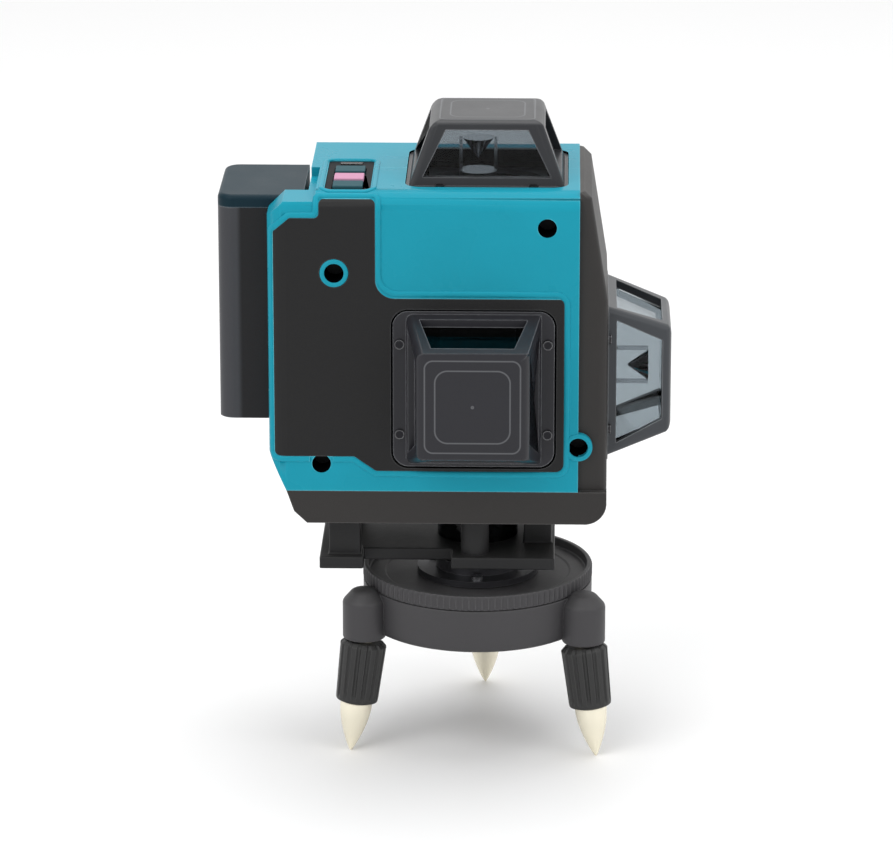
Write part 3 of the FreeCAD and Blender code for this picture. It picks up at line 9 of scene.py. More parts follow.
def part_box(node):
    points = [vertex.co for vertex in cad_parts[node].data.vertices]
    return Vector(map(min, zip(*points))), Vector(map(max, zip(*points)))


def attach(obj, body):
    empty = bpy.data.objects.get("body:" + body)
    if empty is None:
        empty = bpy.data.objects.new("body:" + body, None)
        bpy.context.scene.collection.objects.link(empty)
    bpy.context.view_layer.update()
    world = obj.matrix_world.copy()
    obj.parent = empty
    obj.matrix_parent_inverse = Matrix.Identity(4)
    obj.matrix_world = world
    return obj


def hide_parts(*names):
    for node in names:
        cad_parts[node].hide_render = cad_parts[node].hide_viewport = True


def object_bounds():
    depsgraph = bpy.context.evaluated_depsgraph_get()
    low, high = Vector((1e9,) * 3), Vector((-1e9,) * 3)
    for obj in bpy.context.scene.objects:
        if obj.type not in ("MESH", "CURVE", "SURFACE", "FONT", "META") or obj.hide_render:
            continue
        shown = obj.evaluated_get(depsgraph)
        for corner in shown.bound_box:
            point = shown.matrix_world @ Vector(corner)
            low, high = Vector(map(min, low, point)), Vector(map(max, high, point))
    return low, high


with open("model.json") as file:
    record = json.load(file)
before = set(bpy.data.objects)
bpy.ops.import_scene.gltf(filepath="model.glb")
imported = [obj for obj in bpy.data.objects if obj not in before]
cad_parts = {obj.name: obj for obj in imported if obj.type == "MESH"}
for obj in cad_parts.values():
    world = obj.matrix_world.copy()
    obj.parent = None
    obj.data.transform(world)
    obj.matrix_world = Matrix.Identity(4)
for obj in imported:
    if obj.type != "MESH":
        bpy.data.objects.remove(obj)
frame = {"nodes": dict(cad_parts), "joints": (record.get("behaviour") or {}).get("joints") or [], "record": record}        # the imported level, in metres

cadBox = [list(corner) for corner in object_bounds()]
mm = 0.001
joints = {joint["name"]: joint for joint in frame["joints"]}
bodyOf = {node: body for body, members in frame["record"]["behaviour"]["bodies"].items()
          for node in members}
slotOf = {part["node"]: part["material_slot"] for part in frame["record"]["subparts"]}
smoothAngle = math.radians(38)       # edges that turn further than this are shaded sharp
print("frame loaded:", len(frame["nodes"]), "nodes")


# colours are written as the eye sees them, 0 to 255, and turned to linear light here
def lit(red, green, blue):
    shares = np.array([red, green, blue]) / 255.0
    linear = np.where(shares <= 0.04045, shares / 12.92, ((shares + 0.055) / 1.055) ** 2.4)
    return (*[float(share) for share in linear], 1.0)


# shader node groups shared by the finishes
def newGroup(name, inputs, outputs):
    group = bpy.data.node_groups.new(name, "ShaderNodeTree")
    for label, value in inputs.items():
        socket = group.interface.new_socket(label, in_out="INPUT", socket_type="NodeSocketFloat")
        socket.default_value = value
    for label in outputs:
        group.interface.new_socket(label, in_out="OUTPUT", socket_type="NodeSocketFloat")
    return group, group.nodes.new("NodeGroupInput"), group.nodes.new("NodeGroupOutput")


def addNode(tree, kind, **settings):
    node = tree.nodes.new(kind)
    for label, value in settings.items():
        setattr(node, label, value)
    return node


def feed(tree, value, socket):
    # a plain number or colour is set on the socket, anything else is linked to it
    if isinstance(value, (int, float, tuple)):
        socket.default_value = value
    else:
        tree.links.new(value, socket)


def placeOf(tree, label="Object"):
    return addNode(tree, "ShaderNodeTexCoord").outputs[label]


def split(tree, vector):
    node = addNode(tree, "ShaderNodeSeparateXYZ")
    tree.links.new(vector, node.inputs[0])
    return node.outputs


def mathNode(tree, operation, first, second, clamp=False):
    node = addNode(tree, "ShaderNodeMath", operation=operation, use_clamp=clamp)
    for socket, value in zip(node.inputs, (first, second)):
        feed(tree, value, socket)
    return node.outputs[0]


def noiseNode(tree, scale, detail=3.0, roughness=0.55):
    noise = addNode(tree, "ShaderNodeTexNoise")
    tree.links.new(placeOf(tree), noise.inputs["Vector"])
    feed(tree, scale, noise.inputs["Scale"])
    noise.inputs["Detail"].default_value = detail
    noise.inputs["Roughness"].default_value = roughness
    return noise.outputs["Fac"]


def grainGroup():      # height = fine noise mixed with small cells, mask = slow cloudy change
    group, start, end = newGroup("mouldedGrain", {"Scale": 2500.0}, ["Height", "Mask"])
    fine = noiseNode(group, start.outputs["Scale"])
    cells = addNode(group, "ShaderNodeTexVoronoi", feature="SMOOTH_F1")
    group.links.new(placeOf(group), cells.inputs["Vector"])
    group.links.new(start.outputs["Scale"], cells.inputs["Scale"])
    both = mathNode(group, "ADD", fine, mathNode(group, "MULTIPLY", cells.outputs["Distance"], 0.6))
    group.links.new(both, end.inputs["Height"])
    group.links.new(noiseNode(group, 38.0, 4.0), end.inputs["Mask"])
    return group


# edges that turn take the light colour: partly real wear, partly painted highlight where light catches
# them
def edgeGroup():       # mask = how far the rounded normal turns away from the flat one
    group, start, end = newGroup("edgeWearAndHighlight", {"Strength": 1.0}, ["Mask"])
    bevel = addNode(group, "ShaderNodeBevel", samples=4)
    bevel.inputs["Radius"].default_value = 0.7 * mm
    geometry = addNode(group, "ShaderNodeNewGeometry")
    dot = addNode(group, "ShaderNodeVectorMath", operation="DOT_PRODUCT")
    group.links.new(bevel.outputs["Normal"], dot.inputs[0])
    group.links.new(geometry.outputs["Normal"], dot.inputs[1])
    turn = mathNode(group, "SUBTRACT", 1.0, dot.outputs["Value"], True)
    broken = mathNode(group, "MULTIPLY", turn, mathNode(group, "ADD", noiseNode(group, 420.0), 0.35))
    shaped = mathNode(group, "MULTIPLY", broken, start.outputs["Strength"], True)
    group.links.new(shaped, end.inputs["Mask"])
    return group


def dustGroup():       # mask = faces that look up, broken by noise
    group, start, end = newGroup("settledDust", {"Amount": 0.1}, ["Mask"])
    geometry = addNode(group, "ShaderNodeNewGeometry")
    rise = split(group, geometry.outputs["Normal"])["Z"]
    upward = mathNode(group, "MULTIPLY", mathNode(group, "SUBTRACT", rise, 0.25, True),
                      noiseNode(group, 260.0, 5.0, 0.7))
    group.links.new(mathNode(group, "MULTIPLY", upward, start.outputs["Amount"], True),
                    end.inputs["Mask"])
    return group


def ramp(tree, value, low, high):
    node = addNode(tree, "ShaderNodeMapRange", interpolation_type="SMOOTHSTEP")
    tree.links.new(value, node.inputs["Value"])
    node.inputs["From Min"].default_value = low
    node.inputs["From Max"].default_value = high
    return node.outputs["Result"]


# painted highlights on the lines moulded in the cap of each cage and on its nub: half size and corner
# radius of two squares and a dot
capLines = {"squares": ((11.7 * mm, 4.0 * mm), (14.9 * mm, 2.6 * mm)), "dot": (0.3 * mm, 0.29 * mm),
            "fade": (0.12 * mm, 0.34 * mm), "depth": 0.3 * mm, "strength": 0.26}


def squareLine(tree, across, half, corner):
    # distance of a point p from a rounded square: |length(max(|p| - (half - corner), 0)) - corner|
    reach = [mathNode(tree, "MAXIMUM", mathNode(tree, "SUBTRACT", mathNode(tree, "ABSOLUTE", side, 0.0),
                                                half - corner), 0.0) for side in across]
    squares = [mathNode(tree, "MULTIPLY", side, side) for side in reach]
    length = mathNode(tree, "SQRT", mathNode(tree, "ADD", *squares), 0.0)
    away = mathNode(tree, "ABSOLUTE", mathNode(tree, "SUBTRACT", length, corner), 0.0)
    return mathNode(tree, "SUBTRACT", 1.0, ramp(tree, away, *capLines["fade"]))


def capHighlightMask(tree, axis, centre, level):
    # the lines and the dot, painted as highlights, only where the surface lies at the cap's level along
    # the axis
    place = split(tree, placeOf(tree))
    across = [mathNode(tree, "SUBTRACT", place[label], centre[label]) for label in centre]
    inner, outer = [squareLine(tree, across, *square) for square in capLines["squares"]]
    marks = mathNode(tree, "MAXIMUM", mathNode(tree, "MAXIMUM", inner, outer),
                     squareLine(tree, across, *capLines["dot"]))
    off = mathNode(tree, "ABSOLUTE", mathNode(tree, "SUBTRACT", place[axis], level), 0.0)
    onCap = mathNode(tree, "LESS_THAN", off, capLines["depth"])
    return mathNode(tree, "MULTIPLY", mathNode(tree, "MULTIPLY", marks, onCap), capLines["strength"])


# windows: the axis that each cage looks along, and which way
cages = {"front": ("Y", -1), "top": ("Z", 1), "side": ("X", 1)}


def capOf(name):
    # axis, centre across the axis and level of the cap of a cage
    axis, way = cages[name]
    low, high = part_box(name + "_cage_frame")
    middle = (low + high) / 2
    centre = {label: value for label, value in zip("XYZ", middle) if label != axis}
    return axis, centre, (high if way > 0 else low)["XYZ".index(axis)]


groups = {"grain": grainGroup(), "edge": edgeGroup(), "dust": dustGroup()}

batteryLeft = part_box("battery_case")[0].x

# one entry for each finish: colour, colour of worn edges and of painted edge highlights, roughness, and
# what the shared groups add;
# the shade zone = (start, end, colour) is a painted shade along X, cap = where the painted highlight lines
# of a cap lie
finishes = {
    "tealPlastic": dict(colour=lit(28, 150, 172), light=lit(116, 208, 222), roughness=0.28,
                        grain=2400.0, bump=0.10, wearAndHighlight=0.55, dust=0.0, sheen=0.08),
    "darkPlastic": dict(colour=lit(45, 43, 42), light=lit(112, 110, 110), roughness=0.48,
                        grain=2200.0, bump=0.16, wearAndHighlight=0.55, dust=0.06),
    "panelPlastic": dict(colour=lit(20, 20, 21), light=lit(104, 106, 108), roughness=0.50,
                         grain=1700.0, bump=0.20, wearAndHighlight=0.45, dust=0.05),
    # black painted where shade falls: in the screw wells, inside the case, in the window's recess and on
    # the panel's seat
    "paintedShadeBlack": dict(colour=lit(8, 10, 13), light=lit(20, 24, 28), roughness=0.90,
                      grain=1700.0, bump=0.10, wearAndHighlight=0.0, dust=0.0, sheen=0.0),
    "bracketPlastic": dict(colour=lit(30, 30, 31), light=lit(84, 84, 86), roughness=0.52,
                           grain=1900.0, bump=0.16, wearAndHighlight=0.50, dust=0.04),
    "batteryPlastic": dict(colour=lit(60, 61, 65), light=lit(122, 126, 130), roughness=0.42,
                           grain=1900.0, bump=0.15, wearAndHighlight=0.60, dust=0.02,
                           # the part of the battery beside the case turns near black: painted shade cast
                           # by the case
                           paintedShadeZone=(batteryLeft + 5.8 * mm, batteryLeft + 7.8 * mm, lit(13, 13, 16))),
    "lidPlastic": dict(colour=lit(18, 42, 52), light=lit(116, 124, 130), roughness=0.40,
                       grain=1900.0, bump=0.15, wearAndHighlight=0.90, dust=0.0, sheen=0.1),
    "basePlastic": dict(colour=lit(66, 65, 67), light=lit(122, 122, 124), roughness=0.48,
                        grain=1800.0, bump=0.16, wearAndHighlight=0.55, dust=0.06),
    "knobPlastic": dict(colour=lit(50, 50, 50), light=lit(104, 104, 104), roughness=0.44,
                        grain=2000.0, bump=0.12, wearAndHighlight=0.55, dust=0.03),
    # the three cages are one plastic: the front frame is painted darker as shade, the side frame lighter
    # as the light it reflects from above
    "frontCagePaintedShade": dict(colour=lit(38, 38, 43), light=lit(150, 152, 156), roughness=0.32,
                      grain=2600.0, bump=0.08, wearAndHighlight=0.7, dust=0.02, cap=capOf("front")),
    "topCage": dict(colour=lit(46, 47, 50), light=lit(150, 152, 156), roughness=0.32,
                    grain=2600.0, bump=0.08, wearAndHighlight=0.7, dust=0.02, cap=capOf("top")),
    "sideCagePaintedLight": dict(colour=lit(62, 65, 69), light=lit(160, 163, 166), roughness=0.32,
                     grain=2600.0, bump=0.08, wearAndHighlight=0.7, dust=0.03, cap=capOf("side")),
    "keypadFilm": dict(colour=lit(20, 22, 25), light=lit(60, 60, 66), roughness=0.50,
                       grain=2600.0, bump=0.04, wearAndHighlight=0.20, dust=0.0, sheen=0.06),
    "keyRubber": dict(colour=lit(48, 84, 92), light=lit(120, 160, 166), roughness=0.55,
                      grain=2400.0, bump=0.06, wearAndHighlight=0.20, dust=0.0, sheen=0.1),
    "litRubber": dict(colour=lit(196, 142, 170), light=lit(226, 190, 206), roughness=0.50,
                      grain=2400.0, bump=0.05, wearAndHighlight=0.15, dust=0.0, sheen=0.1, glow=0.12),
    "boardGreen": dict(colour=lit(28, 92, 58), light=lit(60, 130, 90), roughness=0.45,
                       grain=900.0, bump=0.05, wearAndHighlight=0.1, dust=0.0),
    "cellWrap": dict(colour=lit(40, 92, 150), light=lit(80, 130, 180), roughness=0.32,
                     grain=900.0, bump=0.04, wearAndHighlight=0.1, dust=0.0),
    "footMetal": dict(colour=lit(252, 245, 224), light=lit(255, 250, 236), roughness=0.24, metal=0.6,
                      grain=1500.0, bump=0.05, wearAndHighlight=0.25, dust=0.0),
    "brassMetal": dict(colour=lit(214, 178, 96), light=lit(240, 214, 150), roughness=0.28, metal=1.0,
                       grain=1500.0, bump=0.06, wearAndHighlight=0.3, dust=0.0),
    "darkBrass": dict(colour=lit(70, 62, 44), light=lit(130, 116, 80), roughness=0.40, metal=1.0,
                      grain=1500.0, bump=0.06, wearAndHighlight=0.3, dust=0.0),
    "zincMetal": dict(colour=lit(80, 80, 84), light=lit(150, 150, 154), roughness=0.34, metal=0.8,
                      grain=1600.0, bump=0.10, wearAndHighlight=0.4, dust=0.02),
    "screwMetal": dict(colour=lit(150, 151, 154), light=lit(205, 206, 208), roughness=0.28, metal=1.0,
                       grain=1500.0, bump=0.06, wearAndHighlight=0.3, dust=0.0),
    "darkScrew": dict(colour=lit(38, 38, 41), light=lit(150, 150, 152), roughness=0.34, metal=0.9,
                      grain=1500.0, bump=0.06, wearAndHighlight=1.0, dust=0.0),
    # the case screws, painted near black for the shade deep in their wells
    "paintedShadeScrew": dict(colour=lit(16, 18, 21), light=lit(40, 44, 48), roughness=0.50, metal=0.6,
                      grain=1500.0, bump=0.06, wearAndHighlight=0.4, dust=0.0),
    "barrelMetal": dict(colour=lit(206, 207, 210), light=lit(226, 227, 229), roughness=0.26, metal=1.0,
                        grain=1500.0, bump=0.05, wearAndHighlight=0.2, dust=0.0),
    "frameMetal": dict(colour=lit(170, 172, 176), light=lit(212, 213, 216), roughness=0.38, metal=1.0,
                       grain=1300.0, bump=0.10, wearAndHighlight=0.2, dust=0.0),
    "copperMetal": dict(colour=lit(205, 128, 92), light=lit(232, 170, 140), roughness=0.30, metal=1.0,
                        grain=1500.0, bump=0.06, wearAndHighlight=0.2, dust=0.0),
    "mirrorMetal": dict(colour=lit(244, 245, 247), light=lit(255, 255, 255), roughness=0.05, metal=1.0,
                        grain=1500.0, bump=0.0, wearAndHighlight=0.0, dust=0.0),
}


def groupNode(tree, name, **values):
    node = addNode(tree, "ShaderNodeGroup", node_tree=groups[name])
    for label, value in values.items():
        node.inputs[label].default_value = value
    return node


def mixColour(tree, mask, first, second):
    node = addNode(tree, "ShaderNodeMix", data_type="RGBA")
    tree.links.new(mask, node.inputs[0])
    feed(tree, first, node.inputs[6])        # the colour sockets of this node are 6, 7 and 2
    feed(tree, second, node.inputs[7])
    return node.outputs[2]


def scaled(tree, value, factor, offset):
    node = addNode(tree, "ShaderNodeMath", operation="MULTIPLY_ADD")
    for socket, entry in zip(node.inputs, (value, factor, offset)):
        feed(tree, entry, socket)
    return node.outputs[0]


def newMaterial(name):
    material = bpy.data.materials.new(name)
    material.use_nodes = True
    return material, material.node_tree, material.node_tree.nodes["Principled BSDF"]


def makeFinish(name, spec):
    material, tree, shader = newMaterial(name)
    grain = groupNode(tree, "grain", Scale=spec["grain"])
    edge = groupNode(tree, "edge", Strength=spec["wearAndHighlight"] * 2.2)
    dust = groupNode(tree, "dust", Amount=spec["dust"] * 2.0)
    colour, light = spec["colour"], spec["light"]
    deeper = (*[channel * 0.86 for channel in colour[:3]], 1.0)
    paint = mixColour(tree, grain.outputs["Mask"], deeper, colour)
    # worn edges and painted edge highlights, in the light colour
    paint = mixColour(tree, edge.outputs["Mask"], paint, light)
    paint = mixColour(tree, dust.outputs["Mask"], paint, lit(186, 186, 182))
    # the cap's moulded lines and nub, painted in the light colour as highlights
    if "cap" in spec:
        paint = mixColour(tree, capHighlightMask(tree, *spec["cap"]), paint, light)
    # painted shade: the colour turns to the shade colour from start to end along X
    if "paintedShadeZone" in spec:
        start, end, shade = spec["paintedShadeZone"]
        paint = mixColour(tree, ramp(tree, split(tree, placeOf(tree))["X"], start, end), paint, shade)
    tree.links.new(paint, shader.inputs["Base Color"])
    rough = scaled(tree, grain.outputs["Mask"], 0.16, spec["roughness"] - 0.08)
    tree.links.new(rough, shader.inputs["Roughness"])
    shader.inputs["Metallic"].default_value = spec.get("metal", 0.0)
    sheen = 0.5 if "metal" in spec else spec.get("sheen", 0.26)
    shader.inputs["Specular IOR Level"].default_value = sheen
    if spec["bump"]:
        bump = addNode(tree, "ShaderNodeBump")
        bump.inputs["Strength"].default_value = spec["bump"]
        bump.inputs["Distance"].default_value = 0.2 * mm
        tree.links.new(grain.outputs["Height"], bump.inputs["Height"])
        tree.links.new(bump.outputs["Normal"], shader.inputs["Normal"])
    if "glow" in spec:
        tree.links.new(paint, shader.inputs["Emission Color"])
        shader.inputs["Emission Strength"].default_value = spec["glow"]
    return material


def makeGlass(name, colour, roughness):
    material, tree, shader = newMaterial(name)
    shader.inputs["Transmission Weight"].default_value = 1.0
    shader.inputs["IOR"].default_value = 1.2
    smear = scaled(tree, noiseNode(tree, 160.0), 0.02, roughness)
    tree.links.new(smear, shader.inputs["Roughness"])
    shader.inputs["Base Color"].default_value = colour
    return material


# the glasses: colour and roughness
glasses = {"clearGlass": (lit(188, 195, 199), 0.0), "smokedGlass": (lit(172, 178, 182), 0.0),
           "blackGlass": (lit(84, 88, 92), 0.0), "redLens": (lit(200, 60, 60), 0.12)}

materials = {name: makeFinish(name, spec) for name, spec in finishes.items()}
materials.update({name: makeGlass(name, *spec) for name, spec in glasses.items()})
print("finishes made:", len(materials))

# the finish of each material slot, then of single nodes that look different from their slot
finishOfSlot = {
    "teal_case": "tealPlastic", "dark_case": "darkPlastic", "black_panel": "panelPlastic",
    "base_plastic": "basePlastic", "knob_plastic": "knobPlastic", "foot_metal": "footMetal",
    "brass": "brassMetal", "zinc": "zincMetal", "screw_steel": "screwMetal",
    "cage_plastic": "topCage", "window_glass": "clearGlass", "keypad": "keypadFilm",
    "key_rubber": "keyRubber", "lit_key_rubber": "litRubber", "lens": "redLens", "board": "boardGreen",
    "battery_plastic": "batteryPlastic", "cell_wrap": "cellWrap", "contact": "brassMetal",
    "pendulum_metal": "frameMetal", "laser_metal": "barrelMetal", "mirror": "mirrorMetal",
    "copper": "copperMetal", "magnet": "screwMetal",
}
ownFinish = {
    "bottom_bracket": "bracketPlastic", "bracket_insert": "darkBrass", "case_screws": "paintedShadeScrew",
    "cage_screws": "darkScrew", "side_cage_frame": "sideCagePaintedLight", "front_cage_frame": "frontCagePaintedShade",
    "top_glass": "smokedGlass", "front_glass": "blackGlass", "bottom_glass": "blackGlass",
    "battery_cover": "lidPlastic",
}


def finishOf(node):
    return ownFinish.get(node, finishOfSlot[slotOf[node]])


for name, node in frame["nodes"].items():
    node.data.materials.clear()
    node.data.materials.append(materials[finishOf(name)])


def shaded(piece):
    piece.data.shade_smooth()
    piece.data.set_sharp_from_angle(angle=smoothAngle)


def meshFrom(name, points, faces, smooth=True):
    mesh = bpy.data.meshes.new(name)
    mesh.from_pydata(np.asarray(points, float).reshape(-1, 3).tolist(), [], faces)
    mesh.update()
    piece = bpy.data.objects.new(name, mesh)
    bpy.context.scene.collection.objects.link(piece)
    if smooth:
        shaded(piece)
    return piece


def gridFaces(rows, columns, closeRows, closeColumns):
    # a square between each point, its neighbour in the row and the same two in the next row
    row, column = np.meshgrid(np.arange(rows if closeRows else rows - 1),
                              np.arange(columns if closeColumns else columns - 1), indexing="ij")
    nextRow, nextColumn = (row + 1) % rows, (column + 1) % columns
    corners = [row * columns + column, row * columns + nextColumn,
               nextRow * columns + nextColumn, nextRow * columns + column]
    return np.stack(corners, -1).reshape(-1, 4).tolist()


def arcedProfile(corners, steps=5):
    # each corner (a, b, radius) becomes an arc that is tangent to both of its sides
    points = []
    for index, (a, b, radius) in enumerate(corners):
        here = np.array([a, b], float)
        if radius <= 0:
            points.append(here)
            continue
        before = np.array(corners[index - 1][:2], float) - here
        after = np.array(corners[(index + 1) % len(corners)][:2], float) - here
        before, after = before / np.linalg.norm(before), after / np.linalg.norm(after)
        half = math.acos(np.clip(before @ after, -1, 1)) / 2
        reach = radius / math.tan(half)
        middle = here + (before + after) / np.linalg.norm(before + after) * radius / math.sin(half)
        first, last = here + before * reach - middle, here + after * reach - middle
        turn = math.pi - 2 * half
        share = np.linspace(0, 1, steps + 1)[:, None]
        arc = (np.sin((1 - share) * turn) * first + np.sin(share * turn) * last) / math.sin(turn)
        points.extend(middle + arc)
    return np.array(points)


def turnedShape(name, corners, around, swell=None, place=None):
    # profile (radius, height) carried round an axis: x = r cos t, y = r sin t, z = height,
    # where swell(t, radius, height) may change the radius, as for ribs
    profile = arcedProfile(corners)
    angle = np.linspace(0, 2 * math.pi, around, endpoint=False)[:, None]
    radius, height = [profile[None, :, column] + 0 * angle for column in (0, 1)]
    if swell:
        radius = np.where(radius > 1e-6, swell(angle, radius, height), 0.0)
    points = np.stack([radius * np.cos(angle), radius * np.sin(angle), height], -1)
    piece = meshFrom(name, points, gridFaces(around, profile.shape[0], True, True))
    tidyMesh(piece, place)
    return piece


def tidyMesh(piece, place=None):
    # doubles merged, faces turned outwards, and then the place applied
    mesh = bmesh.new()
    mesh.from_mesh(piece.data)
    bmesh.ops.remove_doubles(mesh, verts=mesh.verts, dist=1e-7)
    bmesh.ops.dissolve_degenerate(mesh, dist=1e-8, edges=mesh.edges)
    bmesh.ops.recalc_face_normals(mesh, faces=mesh.faces)
    if place is not None:
        mesh.transform(place)
    mesh.to_mesh(piece.data)
    mesh.free()
    shaded(piece)


def joined(name, pieces):
    mesh = bmesh.new()
    for piece in pieces:
        mesh.from_mesh(piece.data)
        bpy.data.objects.remove(piece)
    result = meshFrom(name, [], [], False)
    mesh.to_mesh(result.data)
    mesh.free()
    shaded(result)
    return result


def dress(piece, body, slot, finish=None, replaces=()):
    piece.data.materials.clear()
    piece.data.materials.append(materials[finish or finishOfSlot[slot]])
    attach(piece, body)
    if replaces:
        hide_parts(*replaces)
    return piece


# wells of the case screws, across and up on the front face
screwPlaces = [(-44.5 * mm, 124.6 * mm), (22.1 * mm, 139.4 * mm), (-48.8 * mm, 62.4 * mm),
               (32.2 * mm, 68.2 * mm)]

# which edges of a CAD piece are rounded, and how two faces of it count as one
edges = {"shortest": 0.9 * mm, "sharpest": math.radians(30), "upright": 0.8, "segments": 3,
         "broadSegments": 5, "broadWidth": 3.6 * mm, "flat": math.radians(0.6), "nearWell": 3.8 * mm,
         "merge": 0.002 * mm}


def nearWell(edge):
    middle = (edge.verts[0].co + edge.verts[1].co) / 2
    return any(math.hypot(middle.x - x, middle.z - z) < edges["nearWell"] for x, z in screwPlaces)


def addBevel(piece, layerName, width, segments):
    bevel = piece.modifiers.new(layerName, "BEVEL")
    bevel.limit_method = "WEIGHT"
    bevel.edge_weight = layerName
    bevel.width = width
    bevel.segments = segments
    bevel.use_clamp_overlap = True


def softened(node, width, minor=1.0, second=None, reshape=None, broad=None):
    # the CAD piece with its loose triangles merged and its long sharp edges rounded: upright edges
    # by the full width, the others by the share minor; second = (finish, test) paints some faces;
    # where broad(edge) gives a share, the edge is rounded first, by that share of the broad width
    piece = meshFrom(node + "_skin", [], [], False)
    mesh = bmesh.new()
    mesh.from_mesh(frame["nodes"][node].data)
    if reshape:
        reshape(mesh.verts)
    bmesh.ops.remove_doubles(mesh, verts=mesh.verts, dist=edges["merge"])
    bmesh.ops.dissolve_degenerate(mesh, dist=edges["merge"] / 2, edges=mesh.edges)
    bmesh.ops.dissolve_limit(mesh, angle_limit=edges["flat"], verts=mesh.verts, edges=mesh.edges)
    layer = mesh.edges.layers.float.new("bevel_weight_edge")
    broadLayer = mesh.edges.layers.float.new("broad_edge")
    for edge in mesh.edges:
        length = edge.calc_length()
        if len(edge.link_faces) != 2 or length <= edges["shortest"] or (second and nearWell(edge)):
            continue
        if edge.calc_face_angle(0.0) > edges["sharpest"]:
            rise = abs(edge.verts[0].co.z - edge.verts[1].co.z) / length
            share = broad(edge) if broad else 0.0
            edge[broadLayer] = share
            edge[layer] = 0.0 if share else (1.0 if rise > edges["upright"] else minor)
    painted = [int(bool(second) and second[1](face.calc_center_median(), face.normal))
               for face in mesh.faces]
    mesh.to_mesh(piece.data)
    mesh.free()
    if broad:
        addBevel(piece, "broad_edge", edges["broadWidth"], edges["broadSegments"])
    addBevel(piece, "bevel_weight_edge", width, edges["segments"])
    shaded(piece)
    weighted = piece.modifiers.new("flatFaces", "WEIGHTED_NORMAL")
    weighted.keep_sharp = True
    dress(piece, bodyOf[node], slotOf[node], finishOf(node), [node])
    if second:
        piece.data.materials.append(materials[second[0]])
        piece.data.polygons.foreach_set("material_index", painted)


def bead(name, path, normals, half, height, sunk, owner, closed=True):
    # at each path point an arch, point = path + side * half * cos t + normal * height * sin t, where
    # side is square to both the path's direction and the surface; its foot is sunk in the surface
    path, normals = np.asarray(path, float), np.asarray(normals, float)
    along = np.roll(path, -1, 0) - np.roll(path, 1, 0) if closed else np.gradient(path, axis=0)
    side = np.cross(along, normals)
    side /= np.linalg.norm(side, axis=1)[:, None]
    turn = np.linspace(0, math.pi, 9)[None, :, None]
    arch = path[:, None] + side[:, None] * half * np.cos(turn)
    arch = arch + normals[:, None] * height * np.sin(turn)
    feet = [path + side * half * way - normals * sunk for way in (-1, 1)]
    ring = np.concatenate([arch, feet[0][:, None], feet[1][:, None]], 1)
    around = ring.shape[1]
    faces = gridFaces(len(path), around, closed, True)
    if not closed:
        faces += [list(range(around)), list(range((len(path) - 1) * around, len(path) * around))]
    piece = meshFrom(name, ring, faces)
    tidyMesh(piece)
    dress(piece, bodyOf[owner], slotOf[owner], finishOf(owner))


def outset(corners, distance):
    # every corner moves to p + d (n1 + n2) / (1 + n1 . n2), n being the outward normal of each side
    corners = np.asarray(corners, float)
    sides = np.roll(corners, -1, 0) - corners
    sides /= np.linalg.norm(sides, axis=1)[:, None]
    after = np.stack([sides[:, 1], -sides[:, 0]], 1)
    before = np.roll(after, 1, 0)
    return corners + distance * (before + after) / (1 + (before * after).sum(1))[:, None]


def evenly(points, step):
    # a closed loop of points at about equal steps
    closed = np.vstack([points, points[:1]])
    run = np.concatenate([[0], np.cumsum(np.linalg.norm(np.diff(closed, axis=0), axis=1))])
    wanted = np.linspace(0, run[-1], int(run[-1] / step), endpoint=False)
    return np.stack([np.interp(wanted, run, closed[:, axis]) for axis in range(closed.shape[1])], 1)


# base: ribs round the dish, and the hollow ring with its bosses
base = {"ribs": 112, "ribDepth": 0.5 * mm, "round": 2.2 * mm, "gap": 0.3 * mm, "hub": 13.0 * mm,
        "web": 8.2 * mm, "wall": 5.7 * mm, "taperShare": 0.72, "taper": 0.3 * mm, "around": 192}
boss = {"centre": 40.8 * mm, "radius": 6.95 * mm, "start": -0.5 * mm, "shoulder": 12.0 * mm,
        "top": 16.2 * mm, "noseShare": 0.55, "noseDrop": 0.6 * mm}
dish = {"bore": 8.05 * mm, "floorDrop": 2.8 * mm, "lip": 1.7 * mm, "step": 0.35 * mm,
        "seat": 7.0 * mm, "band": 0.9 * mm}


def jointAt(number):
    joint = joints["knob_spin_%d" % number]
    return Vector(joint["pos_m"]), Vector(joint["axis"])


def footPlace(number):
    # turns +Z down the tilted axis of the foot, from the middle of the boss's underside
    start, along = jointAt(number)
    return Matrix.Translation(start) @ Vector((0, 0, 1)).rotation_difference(along).to_matrix().to_4x4()


def makeBoss(number):
    start = jointAt(number)[0]
    place = Matrix.Translation(Vector((start.x, start.y, 0)).normalized() * boss["centre"])
    return turnedShape("boss_%d" % number, [
        (0, boss["start"], 0), (boss["radius"], boss["start"], 0.7 * mm),
        (boss["radius"], boss["shoulder"], 2.2 * mm),
        (boss["radius"] * boss["noseShare"], boss["top"] - boss["noseDrop"], 2.5 * mm),
        (0, boss["top"], 0)], around=64, place=place)


def makeBase():
    dishLow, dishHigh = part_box("turntable_dish")
    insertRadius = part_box("thread_insert")[1].x
    radius, top = dishHigh.x, dishLow.z - base["gap"]
    hub, web, inner = base["hub"], base["web"], radius - base["wall"]
    outer = radius - base["taper"] - 0.1 * mm
    ring = turnedShape("base_ring", [
        (0, web - 0.2 * mm, 0), (insertRadius, web - 0.2 * mm, 0), (insertRadius, 0, 0),
        (hub, 0, 0.5 * mm), (hub, web, 1.0 * mm), (inner, web, 1.5 * mm), (inner, 0, 0.6 * mm),
        (outer, 0, base["round"]), (outer + base["taper"], top * base["taperShare"], 0),
        (outer + base["taper"], top, 0.3 * mm), (8 * mm, top, 0), (0, top, 0)], around=base["around"])
    bosses = [makeBoss(number) for number in (1, 2, 3)]
    dress(joined("base_body", [ring] + bosses), "base", "base_plastic", replaces=["tripod_base"])


